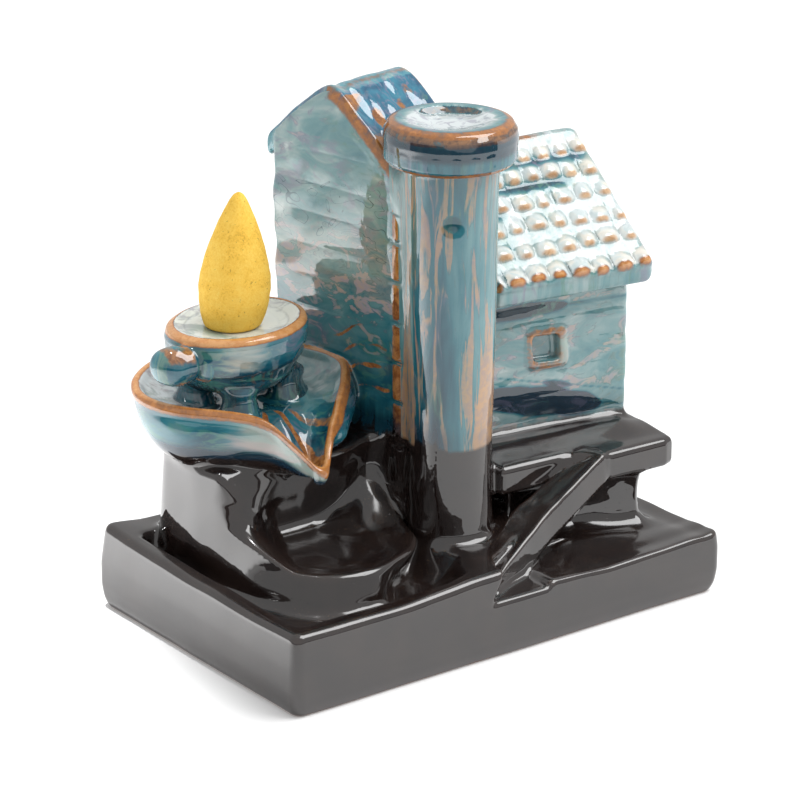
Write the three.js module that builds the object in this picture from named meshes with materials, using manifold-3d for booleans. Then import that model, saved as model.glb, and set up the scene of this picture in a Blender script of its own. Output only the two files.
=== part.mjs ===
// Backflow incense burner: a glazed ceramic scene on a rectangular tray.
// Millimetres, +Z up. The origin is the middle of the tray's underside; +X runs
// along the long front edge to the right, +Y runs to the back.
import * as THREE from 'three';
import { mergeVertices } from 'three/addons/utils/BufferGeometryUtils.js';
import Module from 'manifold-3d';

const wasm = await Module();
wasm.setup();

// ---------------------------------------------------------------- dimensions
const GAP = 0.3;                    // clearance left between touching pieces

const TRAY_X = 53.8;                // half length
const TRAY_Y = 35.4;                // half width
const TRAY_CORNER = 1.9;
const RIM_Z = 17.0;                 // rim and the ground under the tall house
const PLATEAU_Z = 12.8;             // lower ground on the right
const POOL_Z = 12.5;                // floor of the pool
const UNDER_Z = 6.0;                // depth of the hollow underside
const UNDER_WALL = 7.5;             // width of the foot rim

const POT = { x: -31.7, y: 15.0, bottom: 49.5, rim: 63.0, r: 14.3, seat: 61.4 };
const SMOKE_HOLE_R = 1.8;
const FLOOR_Z = 45.2;               // basin floor under the pot
const FOOT_R = 3.7;
const PEG = { r: 3.9, end: -53.2, y: 13.1, z: 57.3, length: 9.6, turn: 15.0 };

const CONE = { x: -32.9, y: 14.7, h: 27.4, lean: 1.6 };

const CHIMNEY = { x: 2.0, y: -10.0, bore: 5.0 };
const CAP = { z0: 94.6, z1: 103.8, r: 13.2, dish: 2.0 };

const HOUSE = { x: -5.3, y: -3.5, turn: 11.3, w: 20.0, d: 34.2, wall: 3.6, ridgeY: 18.9, ridgeZ: 106.7, eaveZ: 90.2 };
const ROOF_T = 4.4;                 // vertical thickness of the tall roof

const DECK = { z0: 24.2, z1: 30.6 };
const COTTAGE_WALL = 3.6;
const COTTAGE_Z0 = DECK.z1 + GAP;

// ---------------------------------------------------------------- helpers
const V = (x, y, z) => new THREE.Vector3(x, y, z);

function solid(geometry) {
  const g = geometry.clone();
  g.deleteAttribute('normal');
  g.deleteAttribute('uv');
  const m = mergeVertices(g, 1e-4);
  return new wasm.Manifold(new wasm.Mesh({
    numProp: 3,
    vertProperties: new Float32Array(m.attributes.position.array),
    triVerts: new Uint32Array(m.index.array),
  }));
}

function geometryOf(manifold) {
  const m = manifold.getMesh();
  const g = new THREE.BufferGeometry();
  const stride = m.numProp;
  const n = m.vertProperties.length / stride;
  const pos = new Float32Array(n * 3);
  for (let i = 0; i < n; i++) for (let k = 0; k < 3; k++) pos[i * 3 + k] = m.vertProperties[i * stride + k];
  g.setAttribute('position', new THREE.BufferAttribute(pos, 3));
  g.setIndex(new THREE.BufferAttribute(new Uint32Array(m.triVerts), 1));
  g.computeVertexNormals();
  return g;
}

// Rounds the corners of a closed polygon with arcs of about radius r.
function rounded(points, r, steps = 4) {
  const out = [];
  const n = points.length;
  for (let i = 0; i < n; i++) {
    const p = new THREE.Vector2(...points[i]);
    const a = new THREE.Vector2(...points[(i + n - 1) % n]);
    const b = new THREE.Vector2(...points[(i + 1) % n]);
    const rr = Math.min(r, p.distanceTo(a) * 0.45, p.distanceTo(b) * 0.45);
    const p0 = p.clone().add(a.clone().sub(p).setLength(rr));
    const p1 = p.clone().add(b.clone().sub(p).setLength(rr));
    for (let k = 0; k <= steps; k++) {
      const t = k / steps;
      out.push([
        (1 - t) * (1 - t) * p0.x + 2 * t * (1 - t) * p.x + t * t * p1.x,
        (1 - t) * (1 - t) * p0.y + 2 * t * (1 - t) * p.y + t * t * p1.y,
      ]);
    }
  }
  return out;
}

function prism(points, z0, z1) {
  const shape = new THREE.Shape(points.map((p) => new THREE.Vector2(p[0], p[1])));
  const g = new THREE.ExtrudeGeometry(shape, { depth: z1 - z0, bevelEnabled: false });
  g.translate(0, 0, z0);
  return g;
}

// Skins a stack of rings that have equally many points, and closes both ends.
function loft(rings) {
  const n = rings[0].length;
  const pos = [];
  const idx = [];
  rings.forEach((ring) => ring.forEach((p) => pos.push(p[0], p[1], p[2])));
  for (let j = 0; j + 1 < rings.length; j++) {
    for (let i = 0; i < n; i++) {
      const a = j * n + i;
      const b = j * n + ((i + 1) % n);
      idx.push(a, b, b + n, a, b + n, a + n);
    }
  }
  const cap = (start, flip) => {
    const c = [0, 0, 0];
    for (let i = 0; i < n; i++) for (let k = 0; k < 3; k++) c[k] += pos[(start + i) * 3 + k] / n;
    const ci = pos.length / 3;
    pos.push(...c);
    for (let i = 0; i < n; i++) {
      const a = start + i;
      const b = start + ((i + 1) % n);
      if (flip) idx.push(ci, b, a); else idx.push(ci, a, b);
    }
  };
  cap(0, true);
  cap((rings.length - 1) * n, false);
  const g = new THREE.BufferGeometry();
  g.setAttribute('position', new THREE.Float32BufferAttribute(pos, 3));
  g.setIndex(idx);
  g.computeVertexNormals();
  return g;
}

const at = (points, z) => points.map((p) => [p[0], p[1], z]);

function inset(points, d) {
  // moves each point of a counter-clockwise outline inwards
  const n = points.length;
  return points.map((p, i) => {
    const a = points[(i + n - 1) % n];
    const b = points[(i + 1) % n];
    const tx = b[0] - a[0];
    const ty = b[1] - a[1];
    const l = Math.hypot(tx, ty) || 1;
    return [p[0] - (ty / l) * d, p[1] + (tx / l) * d];
  });
}

function lathe(profile, segments) {
  const g = new THREE.LatheGeometry(profile.map((p) => new THREE.Vector2(p[0], p[1])), segments);
  g.rotateX(Math.PI / 2);
  return g;
}

function ellipsoid(x, y, z, rx, ry, rz, seg = 20) {
  const g = new THREE.SphereGeometry(1, seg, Math.round(seg * 0.6));
  g.scale(rx, ry, rz);
  g.translate(x, y, z);
  return g;
}

function box(x0, x1, y0, y1, z0, z1) {
  const g = new THREE.BoxGeometry(x1 - x0, y1 - y0, z1 - z0);
  g.translate((x0 + x1) / 2, (y0 + y1) / 2, (z0 + z1) / 2);
  return g;
}

const scene = new THREE.Group();

function add(name, geometry, color, roughness = 0.12, metalness = 0) {
  const mesh = new THREE.Mesh(geometry, new THREE.MeshStandardMaterial({ color, roughness, metalness }));
  mesh.name = name;
  scene.add(mesh);
  return mesh;
}

const BLACK = 0x1f1a1a;
const TEAL = 0x2c7d86;
const PALE = 0x6fa3a8;
const AMBER = 0x8d5a34;

// ---------------------------------------------------------------- tray
const trayOutline = rounded([[-TRAY_X, -TRAY_Y], [TRAY_X, -TRAY_Y], [TRAY_X, TRAY_Y], [-TRAY_X, TRAY_Y]], TRAY_CORNER * 1.4, 5);
let tray = solid(loft([
  at(inset(trayOutline, 0.9), 0), at(inset(trayOutline, 0.3), 1.2), at(trayOutline, 7.5), at(inset(trayOutline, 0.2), RIM_Z - 1.4), at(inset(trayOutline, 1.3), RIM_Z),
]));
// lower ground on the right of the chute, open at the front rim
const plateau = [[-5.2, -40], [60, -40], [60, 40], [12, 40], [12, -13.2], [7.6, -18.6], [4.6, -21.2], [-2.0, -24.8], [-5.2, -30]];
tray = tray.subtract(solid(prism(plateau, PLATEAU_Z, 30)));
// the pool
const pool = rounded([[-48, -30], [-12.5, -30], [-6, -26.5], [-5.6, -20], [-9, -12], [-9, -5], [-13.5, 30.2], [-48, 30.2]], 4, 4);
tray = tray.subtract(solid(loft([at(inset(pool, 0.8), POOL_Z), at(pool, RIM_Z + 1)])));
// the hollow underside
const under = rounded([
  [-TRAY_X + UNDER_WALL, -TRAY_Y + UNDER_WALL], [TRAY_X - UNDER_WALL, -TRAY_Y + UNDER_WALL],
  [TRAY_X - UNDER_WALL, TRAY_Y - UNDER_WALL], [-TRAY_X + UNDER_WALL, TRAY_Y - UNDER_WALL]], 5, 3);
tray = tray.subtract(solid(prism(under, -1, UNDER_Z)));
add('tray', geometryOf(tray), BLACK, 0.1);

// ---------------------------------------------------------------- rock mound
const ledgeLine = rounded([
  [-44.9, 4], [-42.6, -4], [-40.6, -10], [-38.2, -15], [-34.6, -19.4], [-29.5, -21.6], [-22, -21.6], [-15.6, -19.6], [-10.4, -16.2], [-9.6, -12], [-10.4, -8], [-11.6, -2]], 1.6, 2);
const ledge = solid(loft([
  at(inset(ledgeLine, 2.4), POOL_Z + GAP), at(inset(ledgeLine, 1.6), 16), at(ledgeLine, 19.4), at(inset(ledgeLine, 1.2), 20.9)]));
const foot = rounded([[-45.2, 10], [-41.4, -5], [-36.5, -12.5], [-20, -13], [-11.5, -6], [-15, 29.2], [-44.6, 29.2]], 3, 3);
const head = rounded([[-43.6, 12], [-42.2, 3.8], [-34, 1.4], [-23, -0.2], [-13.4, 2.6], [-15.8, 28], [-42, 29.2]], 3, 3);
const neck = foot.map((p, i) => [p[0] * 0.45 + head[i][0] * 0.55, p[1] * 0.45 + head[i][1] * 0.55]);
let mound = ledge.add(solid(loft([at(foot, POOL_Z + GAP), at(neck, 27), at(head, 35.6)])));
mound = mound.subtract(solid(ellipsoid(-26, -8.6, 30.4, 12.6, 13.0, 10.6)));
add('rock_mound', geometryOf(mound), BLACK, 0.08);

// ---------------------------------------------------------------- leaf basin
// The rim, counter-clockwise from the corner beside the tall house.
const rim = [
  [-9.4, 10.2, 50.0], [-10.3, 15.0, 50.4], [-12.2, 21.5, 50.9], [-15.8, 28.6, 51.0], [-24, 33.6, 51.0], [-33, 34.6, 50.7], [-40.8, 32.8, 50.4],
  [-45.3, 30.2, 50.1], [-48.9, 26.8, 49.8], [-51.4, 22.3, 49.4], [-51.8, 17.2, 49.2], [-49.6, 11.2, 49.0], [-46.4, 7.4, 48.8], [-42.8, 4.2, 48.5],
  [-39.4, 1.3, 48.0], [-37.0, -1.1, 47.2], [-35.4, -3.4, 46.0], [-34.3, -5.9, 44.3], [-33.2, -8.5, 42.4], [-32.2, -10.6, 40.6], [-30.9, -12.0, 39.0],
  [-29.3, -11.8, 38.3], [-27.3, -9.8, 39.2], [-25.2, -7.4, 41.0], [-22.5, -4.6, 43.2], [-19.3, -1.9, 45.4], [-16.2, 1.1, 47.0], [-12.2, 5.2, 48.7],
];
const BASIN = [-30.5, 13.0];
const ringOf = (scale, zf) => rim.map((p) => [
  BASIN[0] + (p[0] - BASIN[0]) * scale, BASIN[1] + (p[1] - BASIN[1]) * scale, zf(p)]);
const basin = solid(loft([
  ringOf(0.60, () => 36.0),
  ringOf(0.78, (p) => 36.6 + (p[2] - 46) * 0.08),
  ringOf(0.93, (p) => p[2] - 6.0 + (50 - p[2]) * 0.32),
  ringOf(1.0, (p) => p[2] - 2.2 + (50 - p[2]) * 0.06),
  ringOf(1.0, (p) => p[2] - 0.6),
  ringOf(0.965, (p) => p[2]),
  ringOf(0.90, (p) => p[2] - 0.8),
  ringOf(0.82, (p) => Math.min(p[2] - 1.7, FLOOR_Z + 0.6)),
  ringOf(0.68, (p) => Math.min(FLOOR_Z, p[2] + 3.2)),
  ringOf(0.55, () => FLOOR_Z),
]));
add('leaf_basin', geometryOf(basin), PALE, 0.1);

// ---------------------------------------------------------------- smoke pot
const pot = lathe([
  [SMOKE_HOLE_R, POT.bottom], [7.6, POT.bottom], [10.8, 50.9], [13.1, 54.2], [POT.r, 58.0], [14.2, 61.0], [13.7, 62.6],
  [12.9, POT.rim], [12.0, 62.8], [10.4, 61.9], [8.4, POT.seat], [SMOKE_HOLE_R, POT.seat], [SMOKE_HOLE_R, POT.bottom],
], 40);
pot.translate(POT.x, POT.y, 0);
add('smoke_pot', pot, TEAL, 0.1);

const peg = lathe([
  [0, 0], [PEG.r * 0.9, 0], [PEG.r, 3.6], [PEG.r * 1.02, PEG.length - 3.2], [PEG.r * 0.93, PEG.length - 1.6], [PEG.r * 0.6, PEG.length - 0.4], [0, PEG.length],
], 20);
peg.rotateY(-Math.PI / 2);
peg.translate(PEG.length, 0, 0);
peg.rotateZ(THREE.MathUtils.degToRad(-PEG.turn));
peg.translate(PEG.end, PEG.y, PEG.z);
// its root follows the pot's round side
const potSkin = lathe([[0, 40], [POT.r + GAP, 40], [POT.r + GAP, 70], [0, 70]], 40);
potSkin.translate(POT.x, POT.y, 0);
add('pot_peg', geometryOf(solid(peg).subtract(solid(potSkin))), AMBER, 0.12);

const feet = { pot_foot_front: [-35.7, 8.7], pot_foot_left: [-39.6, 18.6], pot_foot_right: [-22.6, 12.2] };
for (const [name, [x, y]] of Object.entries(feet)) {
  const g = lathe([[0, 0], [FOOT_R + 0.4, 0], [FOOT_R, 1.4], [FOOT_R, POT.bottom - FLOOR_Z - 2 * GAP], [0, POT.bottom - FLOOR_Z - 2 * GAP]], 20);
  g.translate(x, y, FLOOR_Z + GAP);
  add(name, g, TEAL, 0.1);
}

// ---------------------------------------------------------------- incense cone
const coneProfile = [[0, 0], [5.5, 0], [5.9, 0.5], [6.6, 3.2], [7.1, 6.2], [7.15, 8.4], [6.75, 11.4], [6.0, 14.6], [4.9, 18.2], [3.6, 21.8], [2.3, 24.4], [1.3, 26.6], [0.6, 27.2], [0, CONE.h]];
const cone = lathe(coneProfile, 28);
{
  const p = cone.attributes.position;
  for (let i = 0; i < p.count; i++) {
    const t = p.getZ(i) / CONE.h;
    p.setX(i, p.getX(i) + CONE.lean * 0.8 * t);
    p.setY(i, p.getY(i) - CONE.lean * 0.6 * t);
  }
  cone.computeVertexNormals();
}
cone.translate(CONE.x, CONE.y, POT.seat + GAP);
add('incense_cone', cone, 0xdcb03a, 0.95);

// ---------------------------------------------------------------- tall house
const c = Math.cos(THREE.MathUtils.degToRad(HOUSE.turn));
const s = Math.sin(THREE.MathUtils.degToRad(HOUSE.turn));
function placeHouse(g) {
  g.rotateZ(THREE.MathUtils.degToRad(HOUSE.turn));
  g.translate(HOUSE.x, HOUSE.y, 0);
  return g;
}
// a profile in (y, z) swept along the house's own x
function sweepX(points, x0, x1) {
  const shape = new THREE.Shape(points.map((p) => new THREE.Vector2(p[0], p[1])));
  const g = new THREE.ExtrudeGeometry(shape, { depth: x1 - x0, bevelEnabled: false });
  g.rotateX(Math.PI / 2);
  g.rotateZ(Math.PI / 2);
  g.translate(x0, 0, 0);
  return g;
}
const roofTop = (y) => HOUSE.ridgeZ - Math.abs(y - HOUSE.ridgeY) * 0.885;
const wallTop = (y) => roofTop(y) - ROOF_T - GAP;
const houseOuter = solid(placeHouse(sweepX([
  [0, RIM_Z + GAP], [HOUSE.d, RIM_Z + GAP], [HOUSE.d, wallTop(HOUSE.d)], [HOUSE.ridgeY, wallTop(HOUSE.ridgeY)], [0, wallTop(0)]], 0, HOUSE.w)));
const houseVoid = solid(placeHouse(box(HOUSE.wall, HOUSE.w - HOUSE.wall, HOUSE.wall, HOUSE.d - HOUSE.wall, 0, 130)));
const houseWalls = houseOuter.subtract(houseVoid);
add('tall_house_walls', geometryOf(houseWalls), TEAL, 0.12);

const capHole = lathe([[0, 40], [CAP.r + GAP, 40], [CAP.r + GAP, 120], [0, 120]], 40);
capHole.translate(CHIMNEY.x, CHIMNEY.y, 0);
const yFront = -1.0;
const yBack = 37.2;
let houseRoof = solid(placeHouse(sweepX([
  [yFront, roofTop(yFront) - ROOF_T], [HOUSE.ridgeY, HOUSE.ridgeZ - ROOF_T], [yBack, roofTop(yBack) - ROOF_T],
  [yBack + 0.5, roofTop(yBack) - 1.0], [yBack, roofTop(yBack)], [HOUSE.ridgeY + 1.6, HOUSE.ridgeZ - 0.6], [HOUSE.ridgeY, HOUSE.ridgeZ],
  [HOUSE.ridgeY - 1.6, HOUSE.ridgeZ - 0.6], [yFront, roofTop(yFront)]], -0.6, HOUSE.w + 2.2)));
houseRoof = houseRoof.subtract(solid(capHole)).subtract(solid(box(-60, 60, TRAY_Y - 0.2, 60, 0, 130)));
add('tall_house_roof', geometryOf(houseRoof), TEAL, 0.1);

// ---------------------------------------------------------------- chimney
const shaft = lathe([
  [CHIMNEY.bore, RIM_Z + GAP], [10.2, RIM_Z + GAP], [9.3, 19.5], [8.8, 23], [8.6, 36], [8.7, 55], [9.0, 75], [9.3, 88], [9.6, CAP.z0 - GAP],
  [CHIMNEY.bore, CAP.z0 - GAP], [CHIMNEY.bore, RIM_Z + GAP],
], 36);
shaft.translate(CHIMNEY.x, CHIMNEY.y, 0);
// the shaft is flattened where it is luted to the front of the tall house
const houseSkin = solid(placeHouse(box(-GAP, HOUSE.w + GAP, -GAP, HOUSE.d, 0, 93)));
const eaveSkin = solid(placeHouse(box(-3, HOUSE.w + 3, yFront - GAP, HOUSE.d, 82, 99)));
add('chimney_shaft', geometryOf(solid(shaft).subtract(houseSkin).subtract(eaveSkin)), PALE, 0.1);

const cap = lathe([
  [0, CAP.z0], [12.3, CAP.z0], [13.0, 95.6], [CAP.r, 97.6], [CAP.r - 0.2, 100.8], [12.7, 102.9], [11.8, CAP.z1], [10.9, 103.5],
  [10.0, CAP.z1 - CAP.dish + 0.4], [8.6, CAP.z1 - CAP.dish], [0, CAP.z1 - CAP.dish],
], 40);
cap.translate(CHIMNEY.x, CHIMNEY.y, 0);
add('chimney_cap', cap, AMBER, 0.1);

// ---------------------------------------------------------------- deck, pier
// the line 0.4 mm clear of the tall house's right side
const beside = (y) => 14.3 - (y - 0.4) * (s / c) + 0.45;
const deckLine = [
  [11.4, -15.4], [28, -16.8], [33.6, -21.6], [48.6, -22.3], [51.0, -21.4], [51.6, -19], [51.4, 33], [beside(33), 33], [beside(0.4), 0.4], [14.2, -2.4], [12.6, -8]];
add('deck', prism(deckLine, DECK.z0, DECK.z1), BLACK, 0.1);
const pierLine = [[15.6, -12], [30, -14.9], [33.5, -16.6], [42.6, -20.6], [44.3, -19.4], [44.3, 30], [13, 30], [15.4, 0.4]];
add('deck_pier', prism(pierLine, PLATEAU_Z + GAP, DECK.z0 - GAP), BLACK, 0.1);

// ---------------------------------------------------------------- cottage
const wallLine = [[16.4, -4.9], [48.8, -9.1], [50.2, 30.6], [beside(30.6) + 0.4, 30.6], [beside(0.4) + 0.4, 0.4]];
const roofPts = {
  EFL: [14.9, -8.4, 67.6], EFR: [51.2, -13.4, 67.6], RR: [50.4, 10.6, 88.6], RL: [beside(10.6), 10.6, 88.2], EBR: [52.0, 34.2, 67.6], EBL: [beside(34.2), 34.2, 67.6],
};
function roofSlab(down, up) {
  const names = ['EFL', 'EFR', 'RR', 'EBR', 'EBL', 'RL'];
  const pos = [];
  names.forEach((n) => pos.push(roofPts[n][0], roofPts[n][1], roofPts[n][2] + up));
  names.forEach((n) => pos.push(roofPts[n][0], roofPts[n][1], roofPts[n][2] - down));
  const quad = (a, b, d, e) => [a, b, d, a, d, e];
  const idx = [
    ...quad(0, 1, 2, 5), ...quad(5, 2, 3, 4),
    ...quad(6, 11, 8, 7), ...quad(11, 10, 9, 8),
    ...quad(0, 6, 7, 1), ...quad(4, 3, 9, 10),
    ...quad(1, 7, 8, 2), ...quad(2, 8, 9, 3),
    ...quad(4, 10, 11, 5), ...quad(5, 11, 6, 0),
  ];
  const g = new THREE.BufferGeometry();
  g.setAttribute('position', new THREE.Float32BufferAttribute(pos, 3));
  g.setIndex(idx);
  g.computeVertexNormals();
  return g;
}
// six rows of round tile ends on the front slope, six on the back one
let tiles = solid(roofSlab(3.2, 0));
const lerp = (a, b, t) => a.map((v, i) => v + (b[i] - v) * t);
for (const side of [['EFL', 'EFR'], ['EBL', 'EBR']]) {
  for (let row = 0; row < 6; row++) {
    const t = row === 0 ? 0.035 : row / 6 + 0.03;
    const a = lerp(roofPts[side[0]], roofPts.RL, t);
    const b = lerp(roofPts[side[1]], roofPts.RR, t);
    const line = Math.hypot(b[0] - a[0], b[1] - a[1]);
    const bead = new THREE.CylinderGeometry(0.8, 0.8, line - 1.2, 8);
    const q = new THREE.Quaternion().setFromUnitVectors(V(0, 1, 0), V(b[0] - a[0], b[1] - a[1], b[2] - a[2]).normalize());
    bead.applyQuaternion(q);
    bead.translate((a[0] + b[0]) / 2, (a[1] + b[1]) / 2, (a[2] + b[2]) / 2);
    tiles = tiles.add(solid(bead));
  }
}
// its left end butts against the tall house
add('cottage_roof', geometryOf(tiles.subtract(houseSkin)), PALE, 0.1);

let cottage = solid(prism(wallLine, COTTAGE_Z0, 95)).subtract(solid(prism(inset(wallLine, COTTAGE_WALL), 0, 100)));
cottage = cottage.subtract(solid(roofSlab(3.2 + GAP, 30)));
// the window in the front wall: a raised frame round a recess
const wTurn = Math.atan2(-4.3, 33);
const frameBox = box(-5.6, 5.6, -0.7, 1.2, -4.4, 4.4);
const recess = box(-3.7, 3.7, -3, 1.4, -2.9, 2.9);
for (const g of [frameBox, recess]) {
  g.rotateZ(wTurn);
  g.translate(31.2, -6.85, 49.2);
}
cottage = cottage.add(solid(frameBox)).subtract(solid(recess));
add('cottage_walls', geometryOf(cottage), TEAL, 0.12);

// ---------------------------------------------------------------- chute
// stations down the slab: left edge, right edge and top height
const stations = [
  { l: [28.3, -17.3], r: [32.0, -21.4], z: 29.8 },
  { l: [21.5, -17.2], r: [24.0, -22.8], z: 26.3 },
  { l: [14.4, -16.4], r: [16.0, -23.8], z: 22.4 },
  { l: [8.7, -18.8], r: [9.6, -25.6], z: 19.2 },
  { l: [1.0, -24.2], r: [2.0, -28.6], z: 16.4 },
  { l: [-3.4, -28.0], r: [-1.8, -31.0], z: 14.8 },
];
const low = PLATEAU_Z + GAP;
const slab = loft(stations.map((q) => [
  [q.l[0], q.l[1], q.z], [q.l[0], q.l[1], Math.max(low, q.z - 8.8)], [q.r[0], q.r[1], Math.max(low, q.z - 8.8)], [q.r[0], q.r[1], q.z - 0.4],
]));
const inner = (q, t) => [q.l[0] + (q.r[0] - q.l[0]) * t, q.l[1] + (q.r[1] - q.l[1]) * t];
const web = loft(stations.slice(1, 5).map((q) => [
  [...inner(q, 0.12), q.z - 2], [...inner(q, 0.12), low], [...inner(q, 0.68), low], [...inner(q, 0.68), q.z - 2],
]));
add('chute', geometryOf(solid(slab).add(solid(web))), BLACK, 0.08);

export default scene;
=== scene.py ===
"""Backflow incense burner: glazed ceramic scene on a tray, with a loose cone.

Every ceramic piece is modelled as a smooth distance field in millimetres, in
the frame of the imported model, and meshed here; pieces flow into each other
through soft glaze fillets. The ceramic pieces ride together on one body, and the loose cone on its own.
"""
import math
import bpy
import numpy as np
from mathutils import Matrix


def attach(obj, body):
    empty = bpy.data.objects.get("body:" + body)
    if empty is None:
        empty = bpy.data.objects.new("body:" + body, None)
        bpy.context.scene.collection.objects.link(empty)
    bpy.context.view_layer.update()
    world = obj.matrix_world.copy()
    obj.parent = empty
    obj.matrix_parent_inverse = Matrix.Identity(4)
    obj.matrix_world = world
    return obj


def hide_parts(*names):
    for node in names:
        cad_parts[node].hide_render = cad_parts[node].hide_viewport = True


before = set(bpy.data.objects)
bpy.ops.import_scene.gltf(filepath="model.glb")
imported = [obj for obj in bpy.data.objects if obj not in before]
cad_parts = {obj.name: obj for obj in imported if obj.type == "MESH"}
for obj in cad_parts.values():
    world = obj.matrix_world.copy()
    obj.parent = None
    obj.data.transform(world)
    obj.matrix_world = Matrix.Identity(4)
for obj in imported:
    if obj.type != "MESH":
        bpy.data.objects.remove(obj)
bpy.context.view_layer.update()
MM = 0.001

# ------------------------------------------------------------------ maths --


def smin(a, b, k):
    h = np.maximum(k - np.abs(a - b), 0.0) / k
    return np.minimum(a, b) - h * h * k * 0.25


def smax(a, b, k):
    return -smin(-a, -b, k)


def sstep(a, b, x):
    t = np.clip((x - a) / (b - a), 0.0, 1.0)
    return t * t * (3.0 - 2.0 * t)


def poly(x, y, pts):
    """Signed distance to a closed polygon in the plane, negative inside."""
    d = np.full(np.broadcast(x, y).shape, 1e9)
    inside = np.zeros(d.shape, bool)
    n = len(pts)
    for i in range(n):
        ax, ay = pts[i]
        bx, by = pts[(i + 1) % n]
        ex, ey = bx - ax, by - ay
        wx, wy = x - ax, y - ay
        t = np.clip((wx * ex + wy * ey) / (ex * ex + ey * ey), 0.0, 1.0)
        dx, dy = wx - ex * t, wy - ey * t
        d = np.minimum(d, dx * dx + dy * dy)
        if ay != by:
            c = (ay > y) != (by > y)
            inside ^= c & (x < ex * (y - ay) / ey + ax)
    d = np.sqrt(d)
    return np.where(inside, -d, d)


def rpoly(x, y, pts, r):
    """Polygon with convex corners rounded to about r."""
    return poly(x, y, shrink(pts, r)) - r


def shrink(pts, r):
    """The polygon with every side moved in by r."""
    p = [np.array(q, float) for q in pts]
    area = sum(p[i][0] * p[(i + 1) % len(p)][1] - p[(i + 1) % len(p)][0] * p[i][1] for i in range(len(p)))
    s = 1.0 if area > 0 else -1.0
    out = []
    for i in range(len(p)):
        a, b, c = p[i - 1], p[i], p[(i + 1) % len(p)]
        u = (b - a) / np.linalg.norm(b - a)
        v = (c - b) / np.linalg.norm(c - b)
        nu = np.array([-u[1], u[0]]) * s
        nv = np.array([-v[1], v[0]]) * s
        m = nu + nv
        out.append(tuple(b + m * r * 2.0 / max(np.dot(m, m), 1.0)))
    return out


class Plan:
    """A plan outline as a soft distance field, sampled once on a grid and read through cubic splines."""

    def __init__(self, pts, soft, step=0.5, margin=15.0):
        p = np.array(pts, float)
        self.lo, self.step = p.min(0) - margin, step
        self.n = np.ceil((p.max(0) + margin - self.lo) / step).astype(int) + 1
        ax = [self.lo[i] + step * np.arange(self.n[i]) for i in (0, 1)]
        X, Y = np.meshgrid(ax[0], ax[1], indexing="ij")
        D = poly(X, Y, pts)
        s = soft / step
        k = np.arange(-int(3 * s) - 1, int(3 * s) + 2)
        w = np.exp(-0.5 * (k / s) ** 2)
        w /= w.sum()
        for axis in (0, 1):
            pad = [(0, 0), (0, 0)]
            pad[axis] = (len(k) // 2, len(k) // 2)
            E = np.pad(D, pad, mode="edge")
            D = sum(w[i] * np.take(E, np.arange(i, i + self.n[axis]), axis=axis) for i in range(len(k)))
        self.D = D

    def __call__(self, x, y):
        out = 0.0
        fx = np.clip((x - self.lo[0]) / self.step, 1.001, self.n[0] - 2.001)
        fy = np.clip((y - self.lo[1]) / self.step, 1.001, self.n[1] - 2.001)
        ix, iy = fx.astype(int), fy.astype(int)
        tx, ty = fx - ix, fy - iy
        b = lambda t: ((1 - t) ** 3 / 6, (3 * t ** 3 - 6 * t ** 2 + 4) / 6, (-3 * t ** 3 + 3 * t ** 2 + 3 * t + 1) / 6, t ** 3 / 6)
        bx, by = b(tx), b(ty)
        for i in range(4):
            for j in range(4):
                out = out + bx[i] * by[j] * self.D[ix + i - 1, iy + j - 1]
        return out


def box2(x, y, hx, hy, r):
    qx, qy = np.abs(x) - hx + r, np.abs(y) - hy + r
    return np.hypot(np.maximum(qx, 0), np.maximum(qy, 0)) + np.minimum(np.maximum(qx, qy), 0) - r


def curve(xs, ys, soft=0.0):
    """A smoothed table: a function of one variable through the points."""
    lo, hi = xs[0], xs[-1]
    step = (hi - lo) / 400.0
    t = np.linspace(lo - 60 * step, hi + 60 * step, 521)
    v = np.interp(t, xs, ys)
    if soft > 0:
        s = max(soft / step, 0.5)
        k = np.arange(-int(3 * s) - 1, int(3 * s) + 2)
        w = np.exp(-0.5 * (k / s) ** 2)
        w /= w.sum()
        v = np.convolve(np.pad(v, len(k), mode="edge"), w, mode="same")[len(k):-len(k)]
    return lambda x: np.interp(x, t, v)


_wob = {}


def wob(x, y, z, seed, scale, n=5):
    """Smooth undulation, about -1 to 1, with features about scale across."""
    key = (seed, scale, n)
    if key not in _wob:
        r = np.random.default_rng(seed)
        d = r.normal(size=(n, 3))
        d /= np.linalg.norm(d, axis=1)[:, None]
        _wob[key] = (d * (2 * math.pi / scale * r.uniform(0.65, 1.5, n))[:, None], r.uniform(0, 2 * math.pi, n))
    k, ph = _wob[key]
    s = 0.0
    for i in range(n):
        s = s + np.sin(k[i, 0] * x + k[i, 1] * y + k[i, 2] * z + ph[i])
    return s * (1.25 / n)


def gauss(t, w):
    return np.exp(-(t / w) ** 2)


# ------------------------------------------------------------------ pieces --
# All sizes in millimetres. X runs along the long front edge, Y to the back.

RIM_LEFT = curve([-36, -20, 0, 15, 25, 36], [17.1, 16.8, 17.0, 17.2, 17.7, 18.3], 3)
RIM_FRONT = curve([-54, -28, -15, -9, 60], [17.1, 17.0, 17.5, 18.2, 18.2], 2)
SIDE_IN = curve([0, 0.8, 2.2, 5, 10, 13, 15, 17.5], [1.35, 0.8, 0.35, 0.0, 0.0, 0.3, 0.5, 0.8], 0.5)
PLATEAU_EDGE = curve([-6, 8.2, 9.4, 24, 38, 48, 56], [12.2, 12.2, 13.3, 12.5, 12.9, 13.3, 13.5], 0.5)
PLATEAU = [(-5.2, -40), (60, -40), (60, 40), (12, 40), (12, -13.2), (7.6, -18.6), (4.6, -21.2), (-2, -24.8), (-5.2, -30)]
POOL = [(-48.4, -29.6), (-14.5, -29.6), (-8.5, -27.5), (-5.8, -22), (-7.4, -15), (-9, -5), (-13.5, 27.0), (-48.4, 25.5)]


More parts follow.
